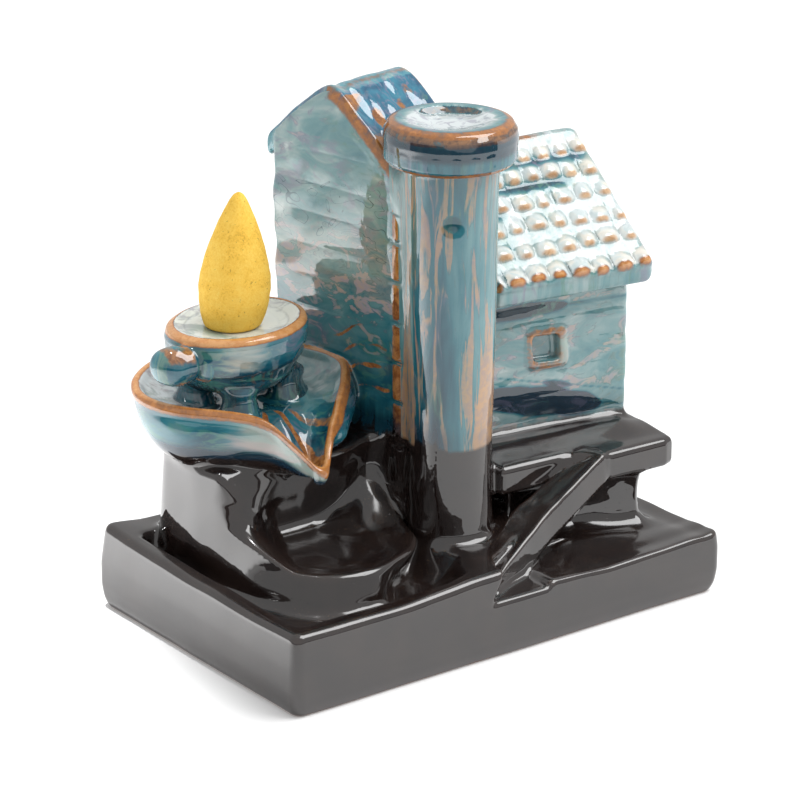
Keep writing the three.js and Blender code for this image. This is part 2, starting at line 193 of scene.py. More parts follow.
def d_tray(x, y, z):
    wv = 0.26 * wob(x, y, z * 0.5, 11, 46) + 0.06 * wob(x, y, z, 12, 15)
    ins = SIDE_IN(z)
    d2 = box2(x, y, 53.3 - ins, 35.0 - ins, 2.3) + wv
    wx = sstep(-52, -42, x)
    rim = (1 - wx) * RIM_LEFT(y) + wx * np.where(y < 0, RIM_FRONT(x), 17.2)
    rim = rim + 0.16 * wob(x, y, 0 * z, 13, 17)
    d = smax(d2, z - rim, 1.8)
    # the low right part
    hp = PLATEAU_EDGE(x) * sstep(-24, -30, y) + 12.75 * (1 - sstep(-24, -30, y)) + 0.10 * wob(x, y, 0 * z, 14, 13)
    hp = hp - 0.28 * gauss(y + 30.6, 2.2) * sstep(9, 14, x) - 0.25 * gauss(x - 49.2, 2.4)
    cut = smax(poly(x, y, PLATEAU) + 0.62 * (z - 12.5), hp - z, 1.5)
    d = smax(d, -cut, 1.3)
    # the pool
    lean = 0.30 + 0.75 * sstep(-22, -9, x)
    pool = poly(x, y, shrink(POOL, 1.6)) - 1.6 + lean * (16.2 - z)
    pool = smax(pool, 12.55 + 0.12 * wob(x, y, 0 * z, 15, 14) - z, 2.2)
    d = smax(d, -pool, 1.4)
    d = smax(d, 0.02 - z, 0.8)
    rec = smax(box2(x, y, 46.3, 27.9, 4.0), z - 6.0, 2.5)
    return smax(d, -rec, 1.0)


LEDGE = [(-37.0, 29.4), (-42.6, 27.6), (-45.2, 23.4), (-45.4, 10.0), (-44.4, 3.0), (-42.6, -3.0), (-40.8, -9.0), (-38.8, -14.0), (-35.6, -18.2), (-31.4, -20.9),
         (-26.0, -21.7), (-20.5, -21.1), (-16.0, -19.4), (-12.2, -17.3), (-8.9, -14.0), (-7.0, -10.0), (-6.4, -4.0), (-6.6, 1.5), (-14.5, 29.4)]
LEDGE_D = Plan(LEDGE, 1.5)
curve_foot = curve([12, 13.5, 15, 17, 18.8, 20.0, 40], [3.6, 3.1, 2.2, 0.9, 0.2, 0.0, 0.0], 0.6)
curve_flare = curve([11, 13, 16, 18, 20, 22.5, 25, 40], [3.5, 2.9, 1.95, 1.35, 0.8, 0.25, 0.0, 0.0], 0.8)
RIDGE_LINE = curve([19, 20, 21, 22, 23.5, 25, 26, 28, 31.5, 36, 38], [-22, -17, -13, -10.4, -6.6, -3.6, -2.2, -0.9, 0.5, 3.0, 4.0], 0.5)
WALL_LINE = curve([18, 20, 22, 25, 29, 33, 36, 38], [4.6, 4.6, 4.2, 3.0, 1.4, 0.3, -0.4, -0.8], 0.8)


def d_mound(x, y, z):
    up = np.maximum(z - 18.0, 0.0)
    lean = 0.01 * up * sstep(-28, -40, x)
    back = 0.16 * up * sstep(16, 24, y) * sstep(-28, -38, x)
    wv = 0.20 * wob(x, y, z, 21, 21) + 0.05 * wob(x, y, z, 22, 9)
    front = sstep(-4, -13, y + 0.15 * x + 4) * sstep(-25, -17, x)
    flare = sstep(9, -10, y) * sstep(-18, -26, x)
    d2 = LEDGE_D(x + lean, y + back) - 0.25 + curve_foot(z) * front - curve_flare(z) * flare - 0.6 * gauss(z - 12.4, 1.3) + wv
    block = smax(d2, z - 36.6, 2.2)
    # the ledge floor, a shallow bowl, rising to the right in a round hump at the house's foot
    q = np.sqrt(((x + 6.5) / 1.25) ** 2 + (y - 3.5) ** 2)
    hump = 9.0 * (1 - sstep(-2.0, 13.0, q))
    floor = 20.35 + hump - 1.0 * sstep(-0.4, -7.0, d2) * sstep(-12, -20, x) + 0.10 * wob(x, y, 0 * z, 23, 12)
    # the overhanging wall behind the ledge; its left end is a ridge that swoops down to the lip
    wl = sstep(-30.0, -42.5, x)
    wall = WALL_LINE(z) + 2.5 * sstep(-17, -9, x)
    wall = wall * (1 - wl) + RIDGE_LINE(z) * wl
    over = smax((floor - z) * 0.92, (y - wall) * 0.88, 5.5)
    d = smax(block, -over, 1.4 + 2.8 * sstep(21.0, 26.0, z) * (1 - sstep(30.0, 35.0, z)))
    return smax(d, 12.3 - z, 0.8)


# leaf basin -----------------------------------------------------------------
BC = (-30.5, 13.0)
RIM = [(-9.0, 10.2, 50.0), (-8.8, 15.0, 50.4), (-11.4, 21.5, 50.9), (-15.5, 28.6, 51), (-24, 33.6, 51), (-33, 34.6, 50.7), (-40.8, 32.8, 50.4),
       (-45.3, 30.2, 50.1), (-48.9, 26.8, 49.8), (-51.2, 22.3, 49.4), (-51.5, 17.2, 49.2), (-49.3, 11.2, 49.0), (-46.2, 7.4, 48.8), (-42.8, 4.4, 48.5),
       (-39.4, 1.5, 48.0), (-37.0, -0.9, 47.2), (-35.4, -3.2, 46.0), (-34.3, -5.7, 44.3), (-33.2, -8.3, 42.4), (-32.2, -10.4, 40.6), (-30.9, -11.7, 39.0),
       (-29.3, -11.6, 38.3), (-27.3, -9.6, 39.2), (-25.2, -7.3, 41.0), (-22.5, -4.5, 43.2), (-19.3, -1.8, 45.4), (-16.2, 1.2, 47.0), (-12.2, 5.4, 48.7)]


def _rim_tables():
    pts = np.array(RIM, float)
    a = np.unwrap(np.arctan2(pts[:, 1] - BC[1], pts[:, 0] - BC[0]))
    r = np.hypot(pts[:, 0] - BC[0], pts[:, 1] - BC[1])
    h = pts[:, 2]
    a = np.concatenate([a - 2 * math.pi, a, a + 2 * math.pi])
    r, h = np.tile(r, 3), np.tile(h, 3)
    # a periodic Catmull-Rom curve through the points, in the plane
    P = np.stack([a, r, h], 1)
    out = []
    for i in range(1, len(P) - 2):
        p0, p1, p2, p3 = P[i - 1], P[i], P[i + 1], P[i + 2]
        for t in np.linspace(0, 1, 24, endpoint=False):
            out.append(0.5 * ((2 * p1) + (p2 - p0) * t + (2 * p0 - 5 * p1 + 4 * p2 - p3) * t * t + (3 * p1 - p0 - 3 * p2 + p3) * t ** 3))
    out = np.array(out)
    out = out[np.argsort(out[:, 0])]
    t = np.linspace(-math.pi, math.pi, 1441)
    R, H = np.interp(t, out[:, 0], out[:, 1]), np.interp(t, out[:, 0], out[:, 2])
    w = np.exp(-0.5 * (np.arange(-18, 19) / 5.0) ** 2)
    w /= w.sum()
    R = np.convolve(np.concatenate([R[-19:-1], R, R[1:19]]), w, mode="valid")
    H = np.convolve(np.concatenate([H[-19:-1], H, H[1:19]]), w, mode="valid")
    return t, R, H, np.gradient(R, t)


RT, RR_, RH_, RD_ = _rim_tables()


def d_basin(x, y, z):
    dx, dy = x - BC[0], y - BC[1]
    p = np.hypot(dx, dy)
    a = np.arctan2(dy, dx)
    R, H, D = np.interp(a, RT, RR_), np.interp(a, RT, RH_), np.interp(a, RT, RD_)
    R = R + 0.15 * wob(x, y, z, 31, 13)
    # outer wall: how wide the body is at this height; it bulges on the near side and right of the spout
    tip = gauss(a + 1.60, 0.16)
    z1 = 36.2 - 1.3 * tip
    zr = np.clip((z - z1) / np.maximum(H - z1, 1.0), 0, 1)
    wrap = (a + 2.55 + math.pi) % (2 * math.pi) - math.pi
    near = np.exp(-(np.abs(wrap) / 0.80) ** 4)
    right = sstep(-1.25, -0.95, a) * sstep(0.15, -0.25, a)
    s0 = 0.72 + 0.12 * np.clip(near, 0, 1) - 0.12 * tip
    s = s0 + (1 - s0) * (1 - (1 - zr) ** 2.4) + (0.085 * np.clip(near, 0, 1) + 0.15 * right) * np.sin(math.pi * zr ** 0.85)
    slope = 1.0 / np.sqrt(1.0 + (D / np.maximum(p, 4.0)) ** 2 * s ** 2)
    outer = (p - R * s) * slope * 0.90
    outer = smax(outer, z1 - 0.7 - z, 2.2)
    # inside: a shallow floor with long gentle walls; the spout falls to the tip
    t = p / R
    low = np.minimum(45.75, H - 1.75)
    f0 = 45.75 - 0.1 * sstep(0.0, 0.6, t)
    fall = f0 + (low - f0) * sstep(0.42, 0.86, t)
    wall = np.clip((t - 0.40) / 0.57, 0, 1) ** 1.9
    inner = fall + (H - 0.05 - fall) * wall
    top = (z - inner) * 0.95
    # leaf veins on the spout, fanning out from the middle
    va = a + 1.62
    vein = np.cos(va * 17.0 + 0.6 * np.sin(p * 0.7)) * gauss(va, 0.62) * sstep(9, 13, p) * (1 - sstep(0.80, 0.92, t))
    top = top - 0.26 * vein
    d = smax(outer, top, 1.0)
    # rolled lip
    lip = np.hypot((p - R * 0.968) * slope, z - H + 0.62) - 0.78
    d = smin(d, lip, 1.3)
    # drop at the very tip
    d = smin(d, np.sqrt((x + 30.3) ** 2 + (y + 11.0) ** 2 + ((z - 36.9) * 0.8) ** 2) - 1.3, 1.6)
    return d


# pot ------------------------------------------------------------------------
PC = (-31.7, 15.0)
POT = [(0, 50.35), (6.2, 50.35), (8.4, 50.9), (10.7, 52.8), (12.5, 55.6), (13.3, 58.6), (13.45, 60.8), (13.15, 61.85), (12.6, 62.1), (11.8, 61.75), (10.6, 61.2), (8.6, 60.9), (0, 60.7)]


def d_pot(x, y, z):
    p = np.hypot(x - PC[0], y - PC[1])
    a = np.arctan2(y - PC[1], x - PC[0])
    q = p / (1.0 + 0.012 * np.sin(2 * a + 0.6) + 0.008 * np.sin(3 * a)) + 0.10 * wob(x, y, z, 41, 9)
    zz = z - 0.075 * (0.804 * (x - PC[0]) - 0.595 * (y - PC[1])) * sstep(6.5, 12.5, p)
    d = poly(q, zz, POT) - 0.85
    return smax(d, 1.8 - p, 0.8)


def d_peg(x, y, z):
    dy, dz = y - 13.0 + 0.27 * (x + 53), z - 57.3
    r = np.hypot(dy, dz)
    prof = 3.45 + 0.45 * sstep(-46.0, -48.6, x) - 0.75 * gauss(x + 44.8, 0.9) + 0.10 * wob(x, y, z, 42, 5)
    d = smax(r * 0.97 - prof, -(x + 52.9), 4.6)
    return smax(d, x + 41.0, 0.6)


FEET = {"pot_foot_front": (-36.3, 7.6, 4.0), "pot_foot_left": (-39.6, 18.6, 4.0), "pot_foot_right": (-22.6, 12.2, 4.5)}


def d_foot(name):
    cx, cy, r = FEET[name]

    def f(x, y, z):
        p = np.hypot(x - cx, y - cy)
        prof = r - 0.75 * gauss(z - 49.4, 1.7) + 0.2 * wob(x, y, z, 43, 6)
        return smax(p - prof, np.abs(z - 48.2) - 3.5, 1.4)
    return f


# chimney --------------------------------------------------------------------
SHAFT_R = curve([10, 14, 17.3, 19.5, 23, 36, 55, 75, 88, 94, 97], [10.4, 9.8, 9.25, 8.95, 8.7, 8.55, 8.85, 9.15, 9.3, 9.5, 9.6], 1.2)


def d_shaft(x, y, z):
    p = np.hypot(x - 2.0, y + 10.0)
    a = np.arctan2(y + 10.0, x - 2.0)
    d = p - SHAFT_R(z) - 0.13 * wob(x, y, z * 0.35, 51, 11) - 0.10 * np.cos(5 * a + 0.8 + 0.04 * z)
    # a small dimple on the front
    dd = np.sqrt((x + 3.1) ** 2 + (y + 17.5) ** 2 + (z - 85.1) ** 2)
    d = d + 0.45 * gauss(dd, 1.5)
    d = smax(d, z - 96.0, 0.8)
    return smax(d, 12.4 - z, 0.8)


CAP = [(0, 95.6), (11.8, 95.6), (12.4, 96.4), (12.5, 98.4), (12.65, 100.2), (12.45, 101.8), (11.7, 103.0), (10.7, 103.5), (9.6, 103.5), (0, 103.5)]


def d_cap(x, y, z):
    dx, dy = x - 2.0, y + 10.0
    p = np.hypot(dx, dy)
    a = np.arctan2(dy, dx)
    q = p / (1.0 + 0.006 * np.sin(2 * a + 1.0)) + 0.07 * wob(x, y, z, 61, 8)
    d = poly(q, z + 0.012 * dx, CAP) - 0.6
    # the bowl in its top: steep on the far side, a long gentle slope on the near one
    far = sstep(0.45, 0.92, np.cos(a - 0.93))
    bowl = 1.75 * (far * (1 - sstep(7.6, 9.6, q)) + (1 - far) * (1 - sstep(2.5, 10.8, q)))
    d = smax(d, (z + 0.012 * dx - 104.1 + bowl) * 0.9, 0.9)
    # scalloped band round the lower side
    ph = a * 22.0
    sc = np.abs(np.sin(ph * 0.5))
    band = sstep(95.4, 96.4, z) * (1 - sstep(98.2, 99.2, z - 0.5 * sc))
    d = d - 0.05 * band * np.sqrt(sc) * sstep(11, 12, p)
    return d


# tall house -----------------------------------------------------------------
CA, SA = 0.981, 0.196


def hl(x, y):
    return (x + 5.3) * CA + (y + 3.5) * SA, -(x + 5.3) * SA + (y + 3.5) * CA


RIDGE_Y = 18.9


def roof_top(yy):
    t = np.abs(yy - RIDGE_Y)
    t = np.sqrt(t * t + 4.0) - 1.55
    return 106.45 - t * 0.885 + 1.15 * np.sin(np.clip(t / 19.0, 0, 1) * math.pi) * np.where(yy > RIDGE_Y, 1.0, 0.25)


QUOIN = [78.2, 69.9, 61.6, 53.2, 44.8, 35.6, 27.0]


def d_tall(x, y, z):
    u, v = hl(x, y)
    w1 = 0.30 * wob(x, y, z, 71, 16) + 0.06 * wob(x, y, z, 72, 7)
    # planks on the gable
    ph = (z + 1.0 * wob(v * 1.0, v, z * 0.3, 73, 26)) / 6.6
    plank = np.abs(np.sin(ph * math.pi))
    g = gauss(u, 2.5) * sstep(1.2, 4.0, v)
    relief = (0.15 - 0.09 * sstep(62, 80, z)) * plank ** 0.6 * g + 0.55 * wob(0 * v, v, z, 74, 10) * gauss(u, 3.0) * sstep(24, 34, v)
    # stacked stones on the front left corner
    cor = np.exp(-((u / 1.9) ** 2 + (v / 1.9) ** 2))
    notch = sum(gauss(z - q, 0.55) for q in QUOIN)
    relief = relief + 0.42 * cor * (1 - np.clip(notch, 0, 1)) * (z < 84) - 0.25 * cor * np.clip(notch, 0, 1)
    under = roof_top(v) - z
    relief = relief * (1 - 0.6 * sstep(12.0, 3.0, under)) + 0.42 * sstep(60.0, 6.0, under) * gauss(u, 3.0)
    d2 = box2(u - 10.0, v - 17.1, 10.0, 17.1, 1.1) - relief + w1 * 0.40
    top = (z - (roof_top(v) - 3.0 + 1.9 * (1 - sstep(0.6, 2.4, u)))) * 0.75
    d = smax(d2, top, 1.0)
    return smax(d, 12.6 - z, 0.8)


def d_tall_roof(x, y, z):
    u, v = hl(x, y)
    wv = 0.34 * wob(x, y, z, 75, 10) + 0.06 * wob(x, y, z, 76, 5)
    barge = 0.5 * gauss(u - 0.2, 1.3) - 0.35 * gauss(u - 3.0, 1.6)
    runs = 0.08 * wob(1.6 * u, 0.35 * v, 0.35 * z, 77, 6) * sstep(2.0, 4.0, u) * sstep(RIDGE_Y, RIDGE_Y - 3.0, v)
    top = (z - roof_top(v) - barge) * 0.75 + 0.55 * wv + runs
    bot = (roof_top(v) - 4.5 - z) * 0.75
    d = smax(top, bot, 1.3)
    side = np.abs(u - 11.15 - 0.1 * sstep(8, 18, v)) - 11.05 + 0.30 * wv
    d = smax(d, side, 1.5)
    ends = np.maximum(-1.0 - v, v - 36.9)
    d = smax(d, ends, 1.4)
    d = smax(d, y - 34.55, 0.6)
    return d


# cottage --------------------------------------------------------------------
TAN = math.tan(math.radians(11.3))


def beside(y):
    return 14.3 - (y - 0.4) * TAN + 0.45


CW = [(16.4, -4.9), (48.8, -9.1), (50.2, 30.6), (beside(30.6) - 2.0, 30.6), (beside(0.4) - 2.0, 0.4)]
CW_S = shrink(CW, 1.3)
WC, WS = math.cos(math.radians(-7.4)), math.sin(math.radians(-7.4))


def d_cottage(x, y, z):
    wx = (x - 31.2) * WC + (y + 6.85) * WS
    wy = -(x - 31.2) * WS + (y + 6.85) * WC
    wz = z - 49.2
    d2 = poly(x, y, CW_S) - 1.3
    ph = (z + 0.9 * wob(x, y, z * 0.3, 81, 24)) / 5.6
    relief = 0.12 * np.abs(np.sin(ph * math.pi)) ** 0.7 + 0.16 * wob(x, y, z, 82, 13) + 0.03 * wob(x, y, z, 83, 5)
    front = gauss(wy, 3.5)
    # thick glaze rolls out under the eave and draws in above the deck
    lens = np.sqrt(np.clip(1 - ((wx + 9.5) / 13.0) ** 2, 0, 1))
    relief = relief + 1.45 * sstep(57.4, 61.6, z) * lens * front
    relief = relief - 1.0 * sstep(43.4, 36.4, z + 0.22 * (wx + 14)) * sstep(15.5, 6.0, wx) * front
    # window: a raised frame round a recess
    fw = box2(wx + 1.9 + 0.05 * wz, wz - 0.6 + 0.03 * wx, 5.0 + 0.25 * wob(x, y, z, 84, 5), 4.5, 1.8)
    rw = box2(wx + 2.1 + 0.07 * wz, wz - 0.6 + 0.06 * wx, 3.1, 2.7, 0.9)
    frame_h = 0.60 * (1 - sstep(-1.2, 0.5, fw)) * front
    d = d2 - relief * (1 - 0.7 * (1 - sstep(-1, 1.5, fw)) * front) - frame_h
    hole = smax(rw, wy - 1.9, 0.8)
    d = smax(d, -hole, 0.8)
    d = smax(d, np.maximum(roof_uv(x, y, z)[2], back_uv(x, y, z)[2]) + 1.6, 1.0)
    return smax(d, 29.6 - z, 0.8)


EFL = np.array([14.9, -8.4, 67.6])
RU = np.array([0.99064659, -0.1364527, 0.0])
RV = np.array([0.1020647, 0.74098973, 0.66371456])
RN = np.array([-0.09056564, -0.65750656, 0.74798595])
TILE_ROWS = [(-1.0, 33.9, 4.97, 1.45), (4.95, 33.4, 5.02, 1.05), (10.55, 33.2, 4.82, 0.95), (15.95, 32.2, 4.84, 0.95), (21.8, 31.0, 4.52, 0.95), (27.0, 30.8, 4.52, 0.8)]


def tiles(u, v, grow=1.0):
    """Height of the round tile ends over the roof plane, and 0..1 at their low lips."""
    h = np.zeros(np.broadcast(u, v).shape)
    tip = np.zeros(h.shape)
    for i, (v0, u0, pitch, amp) in enumerate(TILE_ROWS):
        k = np.round((u - u0) / pitch)
        jit = 0.28 * np.sin(k * 12.9898 + i * 4.1)
        jv = 0.35 * np.sin(k * 7.31 + i * 2.7)
        sz = 1.0 + 0.16 * np.sin(k * 3.77 + i * 5.3)
        du = (u - u0 - k * pitch - jit) / (pitch * (0.42 if i == 0 else 0.37)) / sz
        dv = v - v0 - jv
        ok = (k <= 0)
        f = np.exp(-np.abs(du) ** 2.3)
        g = np.where(dv < 0, np.exp(-(np.abs(dv) / (1.35 if i == 0 else 1.15)) ** 2.6), np.exp(-(np.abs(dv) / 1.75) ** 1.9))
        h = h + amp * sz * f * g * ok
        # a faint tongue runs up the slope from each end
        h = h + 0.07 * f * ok * sstep(0.0, 1.5, dv) * (1 - sstep(3.2, 5.2, dv))
        tip = np.maximum(tip, np.exp(-np.abs(du * 1.05) ** 3) * gauss(dv + 0.75, 0.95 if i == 0 else 0.8) * ok)
    edge = 1 - 0.75 * sstep(34.6, 36.4, u)
    return h * grow * edge, tip * edge


TERR = [(25.0, 31.0), (19.4, 25.0), (13.8, 8.0)]


def house_skin(x, y):
    """Distance out of the tall house's right wall, for pieces that lean on it."""
    u, v = hl(x, y)
    return u - 18.2


def roof_uv(x, y, z):
    dx, dy, dz = x - EFL[0], y - EFL[1], z - EFL[2]
    return dx * RU[0] + dy * RU[1] + dz * RU[2], dx * RV[0] + dy * RV[1] + dz * RV[2], dx * RN[0] + dy * RN[1] + dz * RN[2]


RIDGE = np.array([50.4, 10.6, 88.6])


def back_uv(x, y, z):
    """The back slope mirrors the front one about the ridge."""
    dx, dy, dz = x - RIDGE[0], y - RIDGE[1], z - RIDGE[2]
    return dx * RU[0] + dy * RU[1], 31.6 - RV[0] * dx - RV[1] * dy + RV[2] * dz, -RN[0] * dx - RN[1] * dy + RN[2] * dz


def d_cottage_roof(x, y, z):
    u, v, n = roof_uv(x, y, z)
    ub, vb, nb = back_uv(x, y, z)
    hgt = tiles(u, v)[0] * (1 - sstep(28.6, 30.2, v))
    for vs, u1 in TERR:
        hgt = hgt - 0.36 * np.clip(v - vs, -1.5, 1.5) * gauss(v - vs, 2.0) * sstep(u1 + 3, u1 - 4, u)
    hb = tiles(ub + 34.6, vb)[0] * (1 - sstep(28.6, 30.2, vb))
    wv = 0.20 * wob(x, y, z, 91, 10) + 0.06 * wob(x, y, z, 92, 4)
    front = n - 0.15 - hgt * 0.92 + wv
    back = nb - 0.15 - hb * 0.92 + wv
    top = smax(front, back, 2.0)
    # ridge roll
    yr = RIDGE[1] - 0.1377 * (x - RIDGE[0])
    top = smin(top, np.hypot(y - yr, z - 87.2 + 0.035 * (50 - x)) - 1.5, 1.8)
    under = -np.maximum(n + 3.4, nb + 3.4)
    # the smooth band under the eave, then the tile lips that stand over it
    fr = -((y + 8.4) + 0.1377 * (x - 14.9)) * 0.99
    d = smax(smax(top, under, 1.2), fr - 0.6, 1.4)
    low = 62.2 - z
    d = smin(d, smax(smax(smax(fr - 1.35, -fr - 3.6, 1.0), z - 67.0, 1.4), low, 1.8), 1.6)
    lip = smax(smax(front, -(n + 1.25), 0.7), -(v + 2.8), 1.2)
    lip = smax(lip, v - 6.0, 0.8)
    d = smin(d, lip, 0.7)
    xr = 51.2 - 0.035 * (y + 13.4) + 0.30 * wob(x, y, z, 93, 12)
    d = smax(d, x - xr, 2.6)
    d = smax(d, y - 34.1, 1.6)
    return smax(d, -house_skin(x, y), 0.8)


# deck, pier, chute ------------------------------------------------------------
DECK = [(11.4, -15.4), (28, -16.8), (33.6, -21.6), (48.6, -22.3), (51, -21.4), (51.6, -19), (51.4, 33), (beside(33) - 1.6, 33), (beside(0.4) - 1.6, 0.4), (12.2, -2.4), (10.6, -8)]
DECK_S = shrink(DECK, 1.2)
PIER = [(15.6, -12), (30, -14.9), (33.5, -16.6), (42.6, -20.6), (44.3, -19.4), (44.3, 30), (13, 30), (15.4, 0.4)]
PIER_S = shrink(PIER, 1.2)
PIER_IN = curve([12, 13.4, 15, 18, 21, 24, 26], [-1.4, -0.7, 0.15, 0.45, 0.3, -0.2, -0.4], 0.5)


def d_deck(x, y, z):
    wv = 0.14 * wob(x, y, z, 101, 21) + 0.02 * wob(x, y, z, 102, 8)
    rise = 1.9 * sstep(-17, -9, y + 0.12 * (x - 30)) * (1 - sstep(44, 51, x) * 0.6)
    d2 = poly(x, y, DECK_S) - 1.2
    d = smax(d2, z - 30.5 - rise, 1.9)
    d = smax(d, 24.3 - z, 1.5)
    return d + wv * 0.8


def d_pier(x, y, z):
    d2 = poly(x, y, PIER_S) - 1.2 + PIER_IN(z)
    d2 = d2 + 0.35 * wob(x, y, z, 103, 11)
    return smax(smax(d2, z - 25.6, 0.8), 12.2 - z, 0.8)


ST = [((30.6, -16.9), (34.2, -21.2), 31.1), ((28.3, -17.3), (32, -21.4), 29.8), ((21.5, -17.2), (24, -22.8), 26.3), ((14.4, -16.2), (16, -23.8), 22.4),
      ((8.7, -18.4), (9.6, -25.6), 19.2), ((1, -24.2), (2, -28.6), 16.4), ((-3.4, -28), (-1.8, -31), 14.8)]
CH_D = np.array([-0.955, -0.296])
CH_N = np.array([0.296, -0.955])


def _chute_tables():
    s, l, r, zt = [], [], [], []
    for a, b, z in ST:
        a, b = np.array(a), np.array(b)
        m = (a + b) / 2
        s.append(float((m - np.array([30, -19.4])) @ CH_D))
        l.append(float((a - np.array([30, -19.4])) @ CH_N))
        r.append(float((b - np.array([30, -19.4])) @ CH_N))
        zt.append(z)
    return curve(s, l, 0.9), curve(s, r, 1.2), curve(s, zt, 1.5), s[0], s[-1]


CH_L, CH_R, CH_Z, CH_S0, CH_S1 = _chute_tables()


def d_chute(x, y, z):
    s = (x - 30) * CH_D[0] + (y + 19.4) * CH_D[1]
    n = (x - 30) * CH_N[0] + (y + 19.4) * CH_N[1]
    zt = CH_Z(s)
    lo, hi = CH_L(s) + 0.25 * wob(x, y, z, 111, 8), CH_R(s)
    # right side leans back under the ridge
    under = np.clip(zt - z, 0, 12)
    side = np.maximum((n - hi - (0.12 + 0.06 * sstep(8, 24, s)) * np.minimum(under, 5.6) + 0.55 * np.maximum(under - 5.6, 0)) * 0.95, (lo - n) * 0.97)
    c = (hi + lo) / 2
    w = np.maximum((hi - lo) / 2, 0.8)
    dish = 0.55 * (1 - np.clip(np.abs(n - c) / w, 0, 1.2) ** 2)
    top = (z - (zt - dish) + 0.05 * wob(x, y, 0 * z, 112, 5)) * 0.88
    bot = (np.maximum(zt - 8.0, 12.4) - z) * 0.9
    d = smax(side, top, 1.0)
    d = smax(d, bot, 0.8)
    ends = np.maximum(CH_S0 - s, s - CH_S1 - 1.0)
    d = smax(d, ends, 1.2)
    web = smax(smax(side + 1.5, z - zt + 5.0, 0.8), 12.4 - z, 0.5)
    web = smax(web, np.maximum(4.0 - s, s - CH_S1 + 2.0), 0.8)
    return smin(d, web, 0.8)


FIELDS = {
    "tray": d_tray, "rock_mound": d_mound, "leaf_basin": d_basin, "smoke_pot": d_pot, "pot_peg": d_peg,
    "pot_foot_front": d_foot("pot_foot_front"), "pot_foot_left": d_foot("pot_foot_left"), "pot_foot_right": d_foot("pot_foot_right"),
    "chimney_shaft": d_shaft, "chimney_cap": d_cap, "tall_house_walls": d_tall, "tall_house_roof": d_tall_roof,
    "cottage_walls": d_cottage, "cottage_roof": d_cottage_roof, "deck": d_deck, "deck_pier": d_pier, "chute": d_chute,
}
# the space each field lives in: lowest and highest corner
BOX = {
    "tray": ((-54, -35.6, -0.4), (54, 35.6, 20)),
    "rock_mound": ((-49, -24.5, 11.5), (-4.5, 31.5, 38.5)),
    "leaf_basin": ((-54.6, -14.5, 33.0), (-5.5, 36.5, 52.5)),
    "smoke_pot": ((-47, -0.5, 49), (-16.5, 30.5, 64.5)),
    "pot_peg": ((-53.6, 4.5, 52.0), (-39.5, 19.5, 62.5)),
    "pot_foot_front": ((-41.5, 2.5, 44.5), (-31, 13, 52.5)),
    "pot_foot_left": ((-45, 13.5, 44.5), (-34, 24, 52.5)),
    "pot_foot_right": ((-28.5, 6.5, 44.5), (-16.5, 18, 52.5)),
    "chimney_shaft": ((-11.5, -23, 11.5), (15.5, 4, 97.5)),
    "chimney_cap": ((-12.5, -24.5, 93), (16.5, 4.5, 105)),
    "tall_house_walls": ((-14.5, -6, 11.5), (17, 36, 106.5)),
    "tall_house_roof": ((-14.5, -6.5, 82), (17.5, 36, 107.5)),
    "cottage_walls": ((5, -12, 28.5), (53, 34, 90.5)),
    "cottage_roof": ((6, -16, 62), (54, 36, 92)),
    "deck": ((6, -24.5, 22.5), (53.5, 35, 35)),
    "deck_pier": ((11, -23.5, 11.2), (47.5, 32.5, 27)),
    "chute": ((-7, -33.5, 11.5), (37.5, -14, 33.5)),
}
JOIN = [
    ("tray", "rock_mound", 2.2), ("tray", "chimney_shaft", 2.2), ("tray", "tall_house_walls", 3.0), ("tray", "deck_pier", 2.8), ("tray", "chute", 1.6),
    ("rock_mound", "leaf_basin", 1.6), ("rock_mound", "tall_house_walls", 3.5), ("leaf_basin", "tall_house_walls", 1.4),
    ("leaf_basin", "pot_foot_front", 1.6), ("leaf_basin", "pot_foot_left", 1.6), ("leaf_basin", "pot_foot_right", 2.0),
    ("smoke_pot", "pot_foot_front", 1.8), ("smoke_pot", "pot_foot_left", 1.8), ("smoke_pot", "pot_foot_right", 2.4), ("smoke_pot", "pot_peg", 1.6),
    ("chimney_shaft", "chimney_cap", 1.3), ("chimney_shaft", "tall_house_walls", 4.5), ("chimney_cap", "tall_house_roof", 1.6),
    ("chimney_shaft", "tall_house_roof", 3.0), ("tall_house_walls", "tall_house_roof", 0.9), ("tall_house_walls", "cottage_walls", 2.5),
    ("tall_house_walls", "cottage_roof", 1.5), ("cottage_walls", "cottage_roof", 1.6), ("cottage_walls", "deck", 2.7), ("deck", "deck_pier", 1.6),
    ("deck", "chute", 1.4), ("deck", "chimney_shaft", 2.5), ("deck", "tall_house_walls", 2.5), ("deck_pier", "chute", 1.2), ("chimney_shaft", "chute", 1.4),
    ("deck_pier", "chimney_shaft", 1.5),
]
NEAR = {n: [] for n in FIELDS}
for a_, b_, k_ in JOIN:
    NEAR[a_].append((b_, k_))
    NEAR[b_].append((a_, k_))
DIP = 0.07


def blended(name, x, y, z, dip=DIP, clip=True):
    """The piece's own field, flowing into its neighbours. With clip it ends a little inside them."""
    own = FIELDS[name](x, y, z)
    f = own.copy()
    for other, k in NEAR[name]:
        lo, hi = BOX[other]
        m = k + 0.6
        ok = (x > lo[0] - m) & (x < hi[0] + m) & (y > lo[1] - m) & (y < hi[1] + m) & (z > lo[2] - m) & (z < hi[2] + m) & (own < 12)
        if not ok.any():
            continue
        o = FIELDS[other](x[ok], y[ok], z[ok]) + dip
        f[ok] = smin(f[ok], o, k)
    if clip:
        w = max([k for _, k in NEAR[name]] + [1.0]) * 0.62
        f = np.maximum(f, own - w)
    return f


# ------------------------------------------------------------------ meshing --


